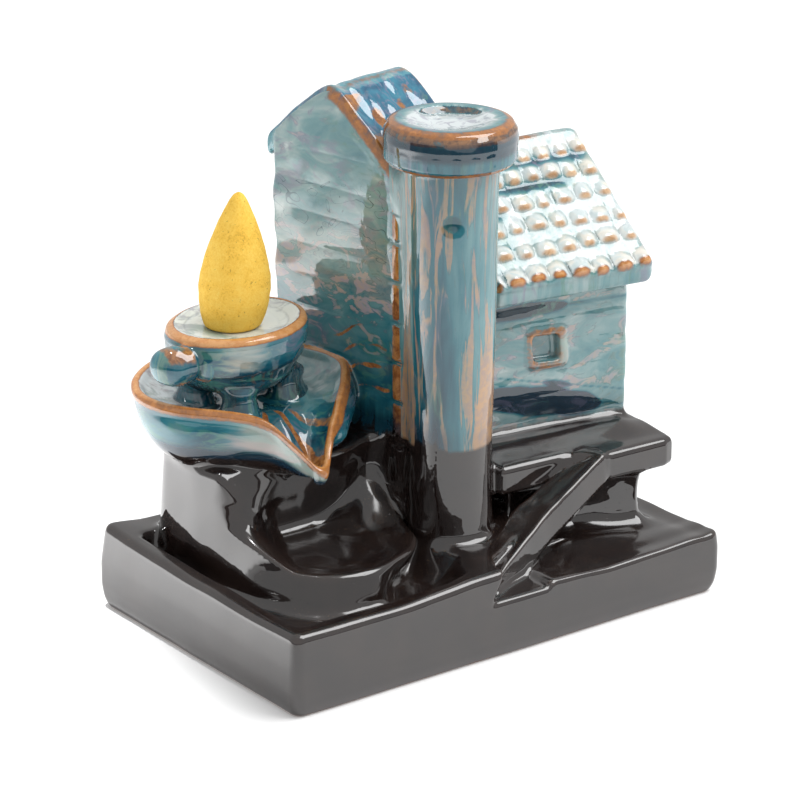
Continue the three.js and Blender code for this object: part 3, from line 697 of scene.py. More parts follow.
def nets(fun, lo, hi, h):
    """A closed quad mesh of the field's zero surface on a grid of step h."""
    lo, hi = np.array(lo, float), np.array(hi, float)
    n = np.ceil((hi - lo) / h).astype(int) + 1
    ax = [lo[i] + h * np.arange(n[i]) for i in range(3)]
    V = np.empty(tuple(n), np.float32)
    slab = max(1, int(600000 / (n[1] * n[2])))
    for i in range(0, n[0], slab):
        X, Y, Z = np.meshgrid(ax[0][i:i + slab], ax[1], ax[2], indexing="ij")
        V[i:i + slab] = fun(X.ravel(), Y.ravel(), Z.ravel()).reshape(X.shape)
    V[0], V[-1], V[:, 0], V[:, -1], V[:, :, 0], V[:, :, -1] = [np.maximum(v, 1e-3) for v in (V[0], V[-1], V[:, 0], V[:, -1], V[:, :, 0], V[:, :, -1])]
    S = V < 0
    c = np.zeros(tuple(n - 1), np.int8)
    for i in (0, 1):
        for j in (0, 1):
            for k in (0, 1):
                c += S[i:n[0] - 1 + i, j:n[1] - 1 + j, k:n[2] - 1 + k]
    act = (c > 0) & (c < 8)
    idx = np.full(tuple(n - 1), -1, np.int64)
    cells = np.argwhere(act)
    idx[act] = np.arange(len(cells))
    acc, cnt = np.zeros((len(cells), 3)), np.zeros(len(cells))
    corners = [(i, j, k) for i in (0, 1) for j in (0, 1) for k in (0, 1)]
    for a in corners:
        for b in corners:
            if sum(abs(np.subtract(a, b))) == 1 and a < b:
                ca, cb = cells + a, cells + b
                va, vb = V[ca[:, 0], ca[:, 1], ca[:, 2]], V[cb[:, 0], cb[:, 1], cb[:, 2]]
                m = (va < 0) != (vb < 0)
                t = np.where(m, va / np.where(m, va - vb, 1), 0)
                acc[m] += (np.array(a) + np.outer(t, np.subtract(b, a)))[m]
                cnt[m] += 1
    P = lo + h * (cells + acc / np.maximum(cnt, 1)[:, None])
    quads = []
    for axis in range(3):
        u, v = [(1, 2), (2, 0), (0, 1)][axis]
        sl0, sl1 = [slice(1, n[i] - 1) for i in range(3)], [slice(1, n[i] - 1) for i in range(3)]
        sl0[axis], sl1[axis] = slice(0, n[axis] - 1), slice(1, n[axis])
        s0, s1 = S[tuple(sl0)], S[tuple(sl1)]
        e = np.argwhere(s0 != s1)
        first = s0[e[:, 0], e[:, 1], e[:, 2]]
        base = e + 1
        base[:, axis] -= 1
        du, dv = np.zeros(3, int), np.zeros(3, int)
        du[u], dv[v] = 1, 1
        q = [base - du - dv, base - dv, base, base - du]
        q = np.stack([idx[w[:, 0], w[:, 1], w[:, 2]] for w in q], 1)
        q[~first] = q[~first][:, ::-1]
        quads.append(q)
    return P, np.concatenate(quads)


TET = np.array([(1, 1, 1), (1, -1, -1), (-1, 1, -1), (-1, -1, 1)], float)


def grad(fun, P, eps):
    g = np.zeros_like(P)
    for t in TET:
        q = P + t * eps
        g += t * fun(q[:, 0], q[:, 1], q[:, 2])[:, None]
    return g / (4 * eps)


def settle(fun, P, h, rounds=2):
    """Moves the points onto the field's zero surface."""
    Q = P.copy()
    for _ in range(rounds):
        f = fun(Q[:, 0], Q[:, 1], Q[:, 2])
        g = grad(fun, Q, 0.04)
        gg = np.maximum((g * g).sum(1), 0.05)
        step = -(f / gg)[:, None] * g
        ln = np.linalg.norm(step, axis=1)
        step *= np.minimum(1.0, 0.35 * h / np.maximum(ln, 1e-9))[:, None]
        Q += step
    off = Q - P
    ln = np.linalg.norm(off, axis=1)
    Q = P + off * np.minimum(1.0, 0.6 * h / np.maximum(ln, 1e-9))[:, None]
    return Q


VOX = {
    "tray": 0.50, "rock_mound": 0.42, "leaf_basin": 0.40, "smoke_pot": 0.36, "pot_peg": 0.28, "pot_foot_front": 0.32, "pot_foot_left": 0.32, "pot_foot_right": 0.32,
    "chimney_shaft": 0.42, "chimney_cap": 0.30, "tall_house_walls": 0.45, "tall_house_roof": 0.38, "cottage_walls": 0.42, "cottage_roof": 0.33, "deck": 0.42,
    "deck_pier": 0.45, "chute": 0.34,
}


def make(name):
    h = VOX[name] * 1.0
    lo, hi = BOX[name]
    lo, hi = [v - 0.013 for v in lo], [v + 0.4 for v in hi]
    fun = lambda x, y, z: blended(name, x, y, z)
    P, Q = nets(fun, lo, hi, h)
    P = settle(fun, P, h)
    whole = lambda x, y, z: blended(name, x, y, z, dip=0.0, clip=False)
    N = grad(whole, P, 0.10)
    N /= np.maximum(np.linalg.norm(N, axis=1), 1e-9)[:, None]
    # how sharply the surface bends outwards (edges, lips) and inwards (creases)
    s = 0.9
    f0 = whole(P[:, 0], P[:, 1], P[:, 2])
    lap = -6.0 * f0
    for i in range(3):
        for sg in (-1, 1):
            q = P.copy()
            q[:, i] += sg * s
            lap += whole(q[:, 0], q[:, 1], q[:, 2])
    bend = lap / (s * s)
    me = bpy.data.meshes.new(name + "_look")
    me.vertices.add(len(P))
    me.vertices.foreach_set("co", (P * MM).astype(np.float32).ravel())
    me.loops.add(len(Q) * 4)
    me.loops.foreach_set("vertex_index", Q.astype(np.int32).ravel())
    me.polygons.add(len(Q))
    me.polygons.foreach_set("loop_start", np.arange(0, len(Q) * 4, 4, dtype=np.int32))
    me.polygons.foreach_set("use_smooth", np.ones(len(Q), bool))
    me.update(calc_edges=True)
    me.validate()
    if len(me.vertices) == len(P):
        me.normals_split_custom_set_from_vertices(N.astype(np.float32))
    ob = bpy.data.objects.new(name + "_look", me)
    bpy.context.scene.collection.objects.link(ob)
    return ob, P, N, bend


def attribute(ob, name, values):
    at = ob.data.attributes.new(name, "FLOAT", "POINT")
    at.data.foreach_set("value", np.asarray(values, np.float32))


# ------------------------------------------------------------------ material --


class Tree:
    """Short names for building a material's nodes."""

    def __init__(self, name):
        self.mat = bpy.data.materials.new(name)
        self.mat.use_nodes = True
        self.t = self.mat.node_tree
        self.t.nodes.clear()

    def node(self, kind, **props):
        n = self.t.nodes.new(kind)
        for k, v in props.items():
            setattr(n, k, v)
        return n

    def put(self, sock, v):
        if v is None:
            return
        if isinstance(v, bpy.types.NodeSocket):
            self.t.links.new(v, sock)
        else:
            if sock.type == "RGBA" and len(v) == 3:
                v = (*v, 1.0)
            sock.default_value = v

    def math(self, op, a, b=None, c=None, clamp=False):
        n = self.node("ShaderNodeMath", operation=op, use_clamp=clamp)
        for s, v in zip(n.inputs, (a, b, c)):
            self.put(s, v)
        return n.outputs[0]

    def add(self, a, b):
        return self.math("ADD", a, b)

    def sub(self, a, b):
        return self.math("SUBTRACT", a, b)

    def mul(self, a, b, clamp=False):
        return self.math("MULTIPLY", a, b, clamp=clamp)

    def step(self, x, a, b, lo=0.0, hi=1.0):
        n = self.node("ShaderNodeMapRange", interpolation_type="SMOOTHSTEP")
        flip = a > b
        self.put(n.inputs["Value"], x)
        n.inputs["From Min"].default_value, n.inputs["From Max"].default_value = (b, a) if flip else (a, b)
        n.inputs["To Min"].default_value, n.inputs["To Max"].default_value = (hi, lo) if flip else (lo, hi)
        return n.outputs["Result"]

    def mix(self, f, a, b):
        n = self.node("ShaderNodeMix", data_type="RGBA")
        self.put(n.inputs[0], f)
        self.put(n.inputs[6], a)
        self.put(n.inputs[7], b)
        return n.outputs[2]

    def vec(self, op, a, b=None, scale=None):
        n = self.node("ShaderNodeVectorMath", operation=op)
        self.put(n.inputs[0], a)
        if b is not None:
            self.put(n.inputs[1], b)
        if scale is not None:
            self.put(n.inputs["Scale"], scale)
        return n.outputs[0]

    def noise(self, v, scale, detail=2.0, rough=0.5, warp=0.0, lac=2.0):
        n = self.node("ShaderNodeTexNoise")
        self.put(n.inputs["Vector"], v)
        n.inputs["Scale"].default_value = scale
        n.inputs["Detail"].default_value = detail
        n.inputs["Roughness"].default_value = rough
        n.inputs["Lacunarity"].default_value = lac
        n.inputs["Distortion"].default_value = warp
        return n.outputs["Fac"]

    def attr(self, name):
        return self.node("ShaderNodeAttribute", attribute_name=name).outputs["Fac"]

    def ramp(self, f, stops, mode="EASE"):
        n = self.node("ShaderNodeValToRGB")
        n.color_ramp.interpolation = mode
        el = n.color_ramp.elements
        while len(el) < len(stops):
            el.new(0.5)
        for e, (p, c) in zip(el, stops):
            e.position = p
            e.color = (*c, 1.0)
        self.put(n.inputs[0], f)
        return n.outputs["Color"]


def srgb(r, g, b):
    f = lambda c: c / 12.92 if c <= 0.04045 else ((c + 0.055) / 1.055) ** 2.4
    return tuple(f(v / 255.0) for v in (r, g, b))


def glaze_material(name, extra):
    """The kiln glaze that covers the whole burner: black below, teal above, amber where it runs thin."""
    T = Tree(name)
    co = T.node("ShaderNodeTexCoord").outputs["Object"]
    P = T.vec("SCALE", co, scale=1000.0)
    sep = T.node("ShaderNodeSeparateXYZ")
    T.put(sep.inputs[0], P)
    z = sep.outputs[2]
    tall = T.vec("MULTIPLY", P, (1.0, 1.0, 0.11))
    wide = T.vec("MULTIPLY", P, (0.22, 0.22, 1.0))
    flow = T.attr("flow")
    mixv = T.node("ShaderNodeMix", data_type="VECTOR")
    T.put(mixv.inputs[0], flow)
    T.put(mixv.inputs[4], tall)
    T.put(mixv.inputs[5], wide)
    F = mixv.outputs[1]
    tone, edge, crease, paint, zb = T.attr("tone"), T.attr("edge"), T.attr("crease"), T.attr("paint"), T.attr("zb")

    big = T.noise(P, 0.055, 2.0, 0.5, 0.6)
    n1 = T.noise(F, 0.20, 3.0, 0.55, 1.2)
    n2 = T.noise(T.vec("ADD", F, (31.0, 7.0, 13.0)), 0.36, 3.0, 0.55, 1.6)
    n3 = T.noise(T.vec("ADD", P, (5.0, 50.0, 9.0)), 0.5, 3.0, 0.6, 0.8)
    fine = T.noise(P, 2.2, 3.0, 0.65)

    # teal body: deep where thick, pale blue-grey where the glaze turns milky
    lvl = T.add(T.add(T.mul(tone, 0.75), T.mul(T.sub(n1, 0.5), 0.85)), T.mul(T.sub(big, 0.5), 0.45))
    lvl = T.add(lvl, T.mul(T.sub(fine, 0.5), 0.05))
    stops = extra.get("ramp", ((10, 44, 58), (18, 80, 98), (46, 114, 126), (96, 143, 147), (148, 171, 171), (206, 214, 215)))
    body = T.ramp(lvl, [(p, srgb(*c)) for p, c in zip((0.0, 0.22, 0.45, 0.68, 0.86, 1.0), stops)], "LINEAR")
    # green and lilac drifts
    body = T.mix(T.mul(T.step(n2, 0.48, 0.64), 0.55), body, T.mix(T.step(big, 0.42, 0.58), srgb(72, 130, 112), srgb(124, 118, 144)))
    # milky cream where the glaze lies thick and opaque; on the pot's belly the same mix carries a painted reflection
    cm = T.step(T.add(T.attr("cream"), T.mul(T.sub(n2, 0.5), 0.7)), 0.28, 0.78)
    body = T.mix(T.mul(cm, 0.85), body, T.mix(T.step(n1, 0.38, 0.62), srgb(*extra.get("cream", (158, 148, 124))), srgb(*extra.get("cream2", (138, 152, 146)))))
    # peach streaks where the glaze thins, with a fine dark outline
    pk = T.add(T.add(n2, T.mul(T.sub(n1, 0.5), 0.35)), T.mul(T.sub(T.attr("peach"), 0.5), 0.30))
    amount = T.attr("peach")
    pm = T.step(pk, 0.622, 0.715)
    line = T.mul(T.step(pk, 0.610, 0.632), T.step(pk, 0.668, 0.640))
    body = T.mix(T.mul(line, T.mul(amount, 0.42)), body, srgb(52, 94, 104))
    pc = extra.get("peach", ((182, 146, 128), (160, 142, 152)))
    body = T.mix(T.mul(pm, T.mul(amount, 0.85, True)), body, T.mix(T.step(n3, 0.35, 0.65), srgb(*pc[0]), srgb(*pc[1])))
    # thin dark cell outlines
    cell = T.math("ABSOLUTE", T.sub(T.noise(T.vec("ADD", F, (3.0, 3.0, 80.0)), 0.26, 1.0, 0.4, 1.8), 0.55))
    body = T.mix(T.mul(T.mul(T.step(cell, 0.012, 0.005), T.attr("cells")), 0.80), body, srgb(30, 76, 90))

    # glaze pools dark in creases
    body = T.mix(T.mul(crease, 0.62), body, srgb(10, 52, 64))

    # amber where it breaks over edges
    thin = T.add(T.add(edge, T.mul(T.sub(n3, 0.5), 0.50)), T.mul(T.sub(fine, 0.5), 0.08))
    am = T.step(thin, 0.26, 0.70)
    amber = T.ramp(T.add(T.add(thin, T.mul(T.sub(fine, 0.5), 0.12)), T.mul(T.sub(n2, 0.5), 0.25)), [(0.35, srgb(92, 66, 48)), (0.58, srgb(142, 86, 38)), (0.82, srgb(188, 122, 60)), (1.0, srgb(210, 154, 96))], "LINEAR")
    body = T.mix(am, body, amber)
    pt = T.add(T.add(paint, T.mul(T.sub(n3, 0.5), 0.45)), T.mul(T.sub(n2, 0.5), 0.35))
    body = T.mix(T.step(pt, *extra.get("soft_paint", (0.36, 0.64))), body, T.mix(T.step(T.add(T.mul(fine, 0.25), n3), 0.48, 0.80), srgb(*extra.get("paint", (128, 76, 38))), srgb(*extra.get("paint2", (184, 124, 66)))))

    # the black glaze, with drips running down into it
    run = T.noise(T.vec("MULTIPLY", P, (1.0, 1.0, 0.05)), 0.34, 3.0, 0.6, 0.4)
    run2 = T.noise(T.vec("MULTIPLY", P, (1.0, 1.0, 0.10)), 0.95, 2.0, 0.6, 0.2)
    h = T.add(T.sub(z, zb), T.mul(T.add(T.mul(T.sub(run, 0.5), 1.0), T.mul(T.sub(run2, 0.5), 0.45)), T.attr("drip")))
    navy = T.mul(T.step(h, 7.0, 0.5), 0.85)
    body = T.mix(T.mul(navy, T.attr("navy")), body, srgb(14, 40, 58))
    speck = T.mul(T.step(T.noise(P, 3.3, 1.0, 0.6), 0.66, 0.74), T.step(T.noise(P, 0.35, 2.0, 0.6), 0.40, 0.62))
    nsep = T.node("ShaderNodeSeparateXYZ")
    T.put(nsep.inputs[0], T.node("ShaderNodeNewGeometry").outputs["Normal"])
    speck = T.mul(speck, T.step(nsep.outputs[2], 0.25, 0.85))
    black = T.mix(T.mul(speck, 0.45), T.mix(T.step(T.noise(P, 0.12, 3.0, 0.6), 0.35, 0.7), srgb(28, 21, 20), srgb(38, 29, 26)), srgb(120, 96, 66))
    black = T.mix(T.mul(T.step(edge, 0.42, 0.95), 0.50), black, srgb(96, 62, 44))
    body = T.mix(T.step(h, 0.55, -0.55), body, black)
    # bare clay along the foot
    foot = T.step(T.add(z, T.mul(T.sub(n3, 0.5), 0.8)), 0.55, 0.15)
    body = T.mix(foot, body, srgb(104, 66, 48))

    b = T.node("ShaderNodeBsdfPrincipled")
    T.put(b.inputs["Base Color"], body)
    b.inputs["IOR"].default_value = 1.85
    dull = T.mul(T.mul(T.step(nsep.outputs[2], 0.30, 0.95), T.step(h, 0.55, -0.55)), 0.13)
    T.put(b.inputs["Roughness"], T.add(T.add(T.mul(T.noise(P, 0.3, 2.0, 0.5), extra.get("rough", 0.05)), T.mul(foot, 0.5)), dull))
    # the surface is hand smoothed under the glaze, never quite flat
    bump = T.node("ShaderNodeBump")
    bump.inputs["Strength"].default_value = 1.0
    bump.inputs["Distance"].default_value = 0.001
    pits = T.step(T.noise(P, 1.9, 0.0, 0.5), 0.22, 0.17)
    hgt = T.add(T.mul(T.noise(P, 0.22, 2.0, 0.45), extra.get("soft", 0.045)), T.mul(T.noise(P, 0.8, 1.0, 0.5), extra.get("ripple", 0.006)))
    hgt = T.sub(hgt, T.mul(pits, 0.008))
    T.put(bump.inputs["Height"], hgt)
    T.put(b.inputs["Normal"], bump.outputs[0])
    out = T.node("ShaderNodeOutputMaterial")
    T.put(out.inputs[0], b.outputs[0])
    return T.mat


def incense_material():
    T = Tree("incense_powder")
    co = T.node("ShaderNodeTexCoord").outputs["Object"]
    P = T.vec("SCALE", co, scale=1000.0)
    grain = T.noise(P, 2.6, 4.0, 0.7)
    blot = T.noise(P, 0.35, 3.0, 0.6, 0.4)
    sep = T.node("ShaderNodeSeparateXYZ")
    T.put(sep.inputs[0], P)
    col = T.ramp(T.add(T.mul(grain, 0.6), T.mul(blot, 0.4)), [(0.25, srgb(194, 144, 52)), (0.45, srgb(246, 197, 80)), (0.62, srgb(253, 213, 102)), (0.85, srgb(255, 230, 140))], "LINEAR")
    dark = T.step(T.noise(P, 1.9, 1.0, 0.4), 0.70, 0.76)
    col = T.mix(T.mul(dark, 0.55), col, srgb(140, 92, 34))
    # painted shade: the cone's colour is darkened towards its base
    col = T.mix(T.mul(T.step(sep.outputs[2], 67.0, 61.5), 0.35), col, srgb(176, 128, 44))
    b = T.node("ShaderNodeBsdfPrincipled")
    T.put(b.inputs["Base Color"], col)
    b.inputs["Roughness"].default_value = 0.92
    b.inputs["Specular IOR Level"].default_value = 0.25
    bump = T.node("ShaderNodeBump")
    bump.inputs["Strength"].default_value = 0.9
    bump.inputs["Distance"].default_value = 0.001
    T.put(bump.inputs["Height"], T.add(T.mul(T.noise(P, 2.4, 4.0, 0.75), 0.16), T.mul(T.noise(P, 0.7, 2.0, 0.5), 0.12)))
    T.put(b.inputs["Normal"], bump.outputs[0])
    out = T.node("ShaderNodeOutputMaterial")
    T.put(out.inputs[0], b.outputs[0])
    return T.mat


def looks(name, P, N, bend):
    """Where this piece is pale, thin, painted or dark: one value for each point."""
    x, y, z = P[:, 0], P[:, 1], P[:, 2]
    one = np.ones(len(P))
    A = {
        "edge": sstep(0.16, 0.95, bend) * 0.9, "crease": sstep(0.12, 0.8, -bend), "tone": one * 0.62, "peach": one * 0.3, "paint": one * 0.0,
        "cells": one * 0.0, "flow": one * 0.0, "drip": one * 5.0, "navy": one * 1.0, "cream": one * 0.0,
        "zb": 37.6 - 3.2 * sstep(12, 20, x),
    }
    if name in ("tray", "rock_mound", "deck_pier", "chute", "deck"):
        A["drip"] = one * 1.0
        A["zb"] = one * 36.5
        A["edge"] = A["edge"] * 0.6
        if name == "rock_mound":
            A["zb"] = 38.5 - 1.0 * sstep(-30, -12, x)
            A["drip"] = one * 1.6
    if name == "leaf_basin":
        dx, dy = x - BC[0], y - BC[1]
        a = np.arctan2(dy, dx)
        t = np.hypot(dx, dy) / np.interp(a, RT, RR_)
        H = np.interp(a, RT, RH_)
        inside = (N[:, 2] > 0.2) & (t < 0.955)
        zl = 36.2 - 1.3 * gauss(a + 1.60, 0.16)
        zr = (z - zl) / np.maximum(H - zl, 1.0) + 0.03 * wob(x, y, z, 231, 6)
        A["zb"] = zl + 0.22 * (H - zl)
        A["drip"] = one * 0.8
        left = sstep(-34, -44, x)
        right = sstep(-26, -18, x) * sstep(0, 6, y)
        A["flow"] = np.where(inside, 0.25, 0.92)
        A["tone"] = np.where(inside, 0.44 + 1.15 * left + 0.60 * right, 0.86 + 0.06 * sstep(0.9, 0.5, zr) - 0.44 * sstep(-38, -46, x) - 0.30 * sstep(-36, -30, x) * sstep(0.55, 0.35, zr))
        A["cream"] = np.where(inside, 0.45 * left + 0.35 * right, (0.66 - 0.60 * sstep(-37, -46, x)) * sstep(0.30, 0.5, zr) + 0.08)
        A["tone"] = np.where(inside & (y < 3), 0.40 - 0.10 * sstep(3, -4, y), A["tone"])
        A["tone"] = np.where(~inside & (x > -24) & (y < 12), 0.34, A["tone"])
        A["cream"] = np.where(~inside & (x > -24) & (y < 12), 0.0, A["cream"])
        va = a + 1.62
        vein = np.cos(va * 17.0 + 0.6 * np.sin(np.hypot(dx, dy) * 0.7))
        A["paint"] = np.where(inside & (y < 7), sstep(-0.1, 0.8, -vein) * 0.80 * gauss(va, 0.85) * sstep(8, 4, y), 0.0)
        rim = sstep(0.925, 0.955, t) * sstep(-2.1, -1.1, z - H) * (1 - 0.25 * sstep(0.99, 1.01, t))
        A["edge"] = np.maximum(A["edge"] * 0.4, rim * 0.92)
        A["edge"] = np.maximum(A["edge"], np.where(inside, 0.0, 0.34 * sstep(0.74, 0.95, zr)))
        A["crease"] = A["crease"] * np.where(inside, 0.5, 1.0)
        A["navy"] = 1.15 * sstep(0.50, 0.34, zr)
        A["peach"] = one * 0.06
    if name == "smoke_pot":
        p = np.hypot(x - PC[0], y - PC[1])
        zz = z - 0.075 * (0.804 * (x - PC[0]) - 0.595 * (y - PC[1]))
        pa = np.arctan2(y - PC[1], x - PC[0])
        # painted reflection: a pale lit patch on the front of the belly, painted with raised tone and cream
        lit = gauss(pa + 2.05, 0.42) * sstep(54.8, 57.0, z)
        dish = (N[:, 2] > 0.3) & (p < 12.4) & (z > 58)
        A["flow"] = one * 0.9
        A["tone"] = np.where(dish, 1.60, 0.08 + 0.30 * sstep(55.2, 58.8, z) + 0.30 * lit)
        A["cream"] = np.where(dish, 0.20, 0.66 * lit)
        A["edge"] = np.maximum(A["edge"] * 0.3 * (z > 58), sstep(12.0, 12.8, p) * sstep(61.2, 62.0, zz) * 0.95)
        A["edge"] = np.maximum(A["edge"], 0.42 * gauss(z - 50.9, 0.8) * (p > 6))
        A["paint"] = 0.30 * sstep(58.4, 60.4, zz) * sstep(12.2, 13, p)
        A["peach"] = np.where(dish, 0.0, 0.25)
        A["zb"], A["navy"] = one * 0.0, one * 0.0
    if name == "pot_peg":
        A["tone"] = one * 0.60
        A["edge"] = A["edge"] * 0.15
        A["paint"] = 0.72 * gauss(z - 59.9, 1.9) * sstep(-52.0, -50.6, x) * sstep(-44.8, -46.4, x) + 0.60 * gauss(z - 54.1, 1.1) * sstep(-50.8, -49, x)
        A["cream"] = 0.3 * one
        A["zb"], A["navy"] = one * 0.0, one * 0.0
    if name.startswith("pot_foot"):
        A["tone"] = one * (0.16 if name == "pot_foot_right" else 0.32)
        A["edge"] = A["edge"] * 0.3
        A["zb"], A["navy"] = one * 0.0, one * (1.0 if name == "pot_foot_right" else 0.0)
        if name == "pot_foot_right":
            A["zb"] = one * 0.0
            A["navy"] = one * 0.0
            A["paint"] = 0.32 * sstep(47.0, 49.0, z)
    if name == "chimney_shaft":
        a = np.arctan2(y + 10, x - 2)
        A["tone"] = 0.62 + 0.16 * sstep(-1.9, -0.9, a) + 0.12 * sstep(45, 85, z) - 0.22 * sstep(-1.95, -2.5, a)
        A["cream"] = 0.42 * sstep(-1.75, -1.1, a) * sstep(45, 70, z)
        A["peach"] = 0.85 + 0.45 * sstep(66, 46, z) * sstep(-2.1, -1.3, a)
        A["zb"] = one * 37.9 + 1.5 * sstep(-2.2, -2.8, a)
        A["drip"] = 0.5 + 6.0 * sstep(-2.1, -2.7, a)
        A["navy"] = 0.25 + 0.75 * sstep(-1.9, -2.6, a)
        dd = np.sqrt((x + 3.1) ** 2 + (y + 17.5) ** 2 + (z - 85.1) ** 2)
        spot = 1 - sstep(1.3, 2.0, dd)
        A["crease"] = np.maximum(A["crease"] * 0.5, spot)
        A["peach"] = A["peach"] * (1 - spot)
        A["edge"] = A["edge"] * 0.15
    if name == "chimney_cap":
        p = np.hypot(x - 2, y + 10)
        a = np.arctan2(y + 10, x - 2)
        back = np.cos(a - 0.93)
        dz = z + 0.012 * (x - 2) + 0.22 * wob(x, y, 0 * z, 221, 7)
        A["tone"] = np.where(N[:, 2] > 0.3, 1.45 - 0.75 * sstep(7.5, 10.5, p), 0.62) * one
        A["cream"] = np.where(N[:, 2] > 0.3, 0.20 * sstep(10, 8, p), 0.0)
        # painted dark reflection: the steep far wall of the top bowl is painted dark in tone and paint
        wall = (p < 9.8) & (p > 7.4) & (N[:, 2] < 0.80) & (back > 0.5)
        A["tone"] = np.where(wall, 0.20, A["tone"])
        A["paint"] = np.where(wall, 0.46, 0.0)
        A["crease"] = A["crease"] * 0.3
        out = sstep(11.2, 12.0, p)
        A["paint"] = np.maximum(A["paint"], out * (0.66 + 0.12 * wob(x, y, z * 0.5, 222, 6)) * sstep(100.5, 101.6, dz) * (1 - sstep(102.6, 103.4, dz)))
        A["edge"] = 0.66 * sstep(9.6, 11.4, p) * sstep(101.9, 102.7, dz)
        A["edge"] = np.where(z < 95.9, 0.60, A["edge"])
        A["peach"] = 0.10 * one
        band = out * sstep(97.4, 98.8, dz) * (1 - sstep(100.9, 102.7, dz))
        A["navy"] = band * 1.1
        A["zb"] = np.where((z < 103.0) & (z > 96.8), z - 1.5, 0.0)
        A["drip"] = one * 0.0
        A["cells"] = out * sstep(98.8, 98.0, dz) * 0.5
        A["tone"] = np.where((out > 0.5) & (dz < 99.4), 0.50, A["tone"])
    if name in ("tall_house_walls", "tall_house_roof"):
        u, v = hl(x, y)
        gab = (1 - sstep(0.8, 2.2, u)) * (N[:, 0] < -0.3)
        A["flow"] = 0.76 * gab
        under = roof_top(v) - z
        A["tone"] = 0.80 + 0.14 * sstep(60, 90, z) * gab - 0.12 * gab * sstep(6, 2, v) - 0.26 * sstep(60, 45, z)
        A["cream"] = (0.16 + 0.40 * gauss(z - 70, 12)) * sstep(54, 66, z) * gab
        A["peach"] = 0.25 + 0.75 * gab * np.maximum(gauss(z - 66, 13), 0.4 * sstep(14, 4, under))
        A["cells"] = gab * sstep(68, 76, z) * (1 - sstep(84, 92, z))
        A["zb"] = 38.0 + 0.6 * np.sin(v * 0.9)
        A["drip"] = one * 9.0
        A["edge"] = A["edge"] * 0.22
        A["crease"] = A["crease"] * (1 - 0.6 * gab)
        low = gab * sstep(62, 57, z) * sstep(41, 46, z) * sstep(22, 14, v) * sstep(1.8, 3.5, v)
        st = np.sin((z + 0.34 * v) * 1.45 + 1.5 * np.sin(v * 0.42 + 0.5) + 0.8 * wob(x, y, z, 205, 7))
        A["paint"] = low * sstep(0.50, 1.0, st) * 0.85 * (0.5 + 0.5 * sstep(-0.4, 0.5, wob(x, y, z, 206, 6)))
        cor = np.exp(-((u / 1.7) ** 2 + (v / 2.0) ** 2))
        notch = np.clip(sum(gauss(z - q, 0.5) for q in QUOIN), 0, 1)
        A["paint"] = np.maximum(A["paint"], sstep(0.28, 0.62, cor) * (1 - notch) * 0.80 * (z < 88) * sstep(33, 38, z))
        A["edge"] = np.maximum(A["edge"], 0.68 * sstep(3.6, 1.7, under) * sstep(RIDGE_Y + 2.0, RIDGE_Y - 1.0, v) * gab)
        if name == "tall_house_roof":
            t = v - RIDGE_Y
            top = N[:, 2] > 0.45
            A["flow"] = one * 0.0
            A["tone"] = np.where(top, 0.46, 0.84)
            A["tone"] = np.where(np.abs(t) < 2.4, 0.85, A["tone"])
            A["cream"] = np.where(np.abs(t) < 2.0, 0.35, 0.0) + 0.3 * sstep(20.2, 21.4, u)
            A["paint"] = (0.72 * sstep(-0.35, 0.5, wob(x, y, z, 201, 6.0)) * sstep(12, 4, u) + 0.62 * sstep(0.0, 0.8, wob(x, y, z, 207, 5))) * top * sstep(2.0, 3.5, np.abs(t))
            A["edge"] = np.where(t < 1.0, 0.66 * gauss(u + 0.1, 1.25), 0.30 * gauss(u, 1.0)) * sstep(-0.2, 0.3, N[:, 2] - 0.3 * N[:, 0])
            A["edge"] = np.maximum(A["edge"], 0.56 * sstep(20.6, 21.8, u))
            A["edge"] = np.maximum(A["edge"], 0.50 * gauss(t + 0.9, 1.2))
            A["peach"] = np.where(top, 0.15, np.where(t > 0, 0.65, 0.4))
            A["drip"], A["navy"] = one * 0, one * 0
    if name == "cottage_walls":
        wx = (x - 31.2) * WC + (y + 6.85) * WS
        wz = z - 49.2
        wy = -(x - 31.2) * WS + (y + 6.85) * WC
        front = wy < 2.5
        A["flow"] = one * 0.78
        A["tone"] = 0.98 + 0.0 * x
        A["cream"] = 0.36 * one
        A["peach"] = one * 0.80 * (1 - 0.5 * sstep(44, 49, x))
        A["edge"] = A["edge"] * 0.12
        # painted dark reflections: dark lozenges painted under the eave, along the foot and below the window
        w1 = 0.7 * wob(x, y, z, 211, 6)
        eave = sstep(0.6, -0.6, np.abs(wz - 9.6 + 0.03 * (wx + 6)) - 1.9 * np.sqrt(np.clip(1 - ((wx + 9.5) / 12.3) ** 2, 0, 1)) + 0.4 * w1)
        foot = sstep(0.6, -0.6, np.abs(wz + 11.3 + 0.20 * wx) - 3.3 * np.sqrt(np.clip(1 - ((wx + 3.5) / 15.0) ** 2, 0, 1)) + 0.5 * w1)
        small = sstep(0.3, -0.3, np.abs(wz + 7.3 + 0.25 * wx) - 0.75 * np.sqrt(np.clip(1 - ((wx - 0.6) / 3.4) ** 2, 0, 1)))
        dark = np.clip(eave * 0.85 + foot + small * 0.8, 0, 1) * front
        A["tone"] = A["tone"] * (1 - dark) - 0.30 * dark
        A["cream"] = A["cream"] * (1 - dark)
        A["peach"] = A["peach"] * (1 - dark)
        A["zb"] = 33.6 + 0 * x
        A["drip"] = one * 1.0
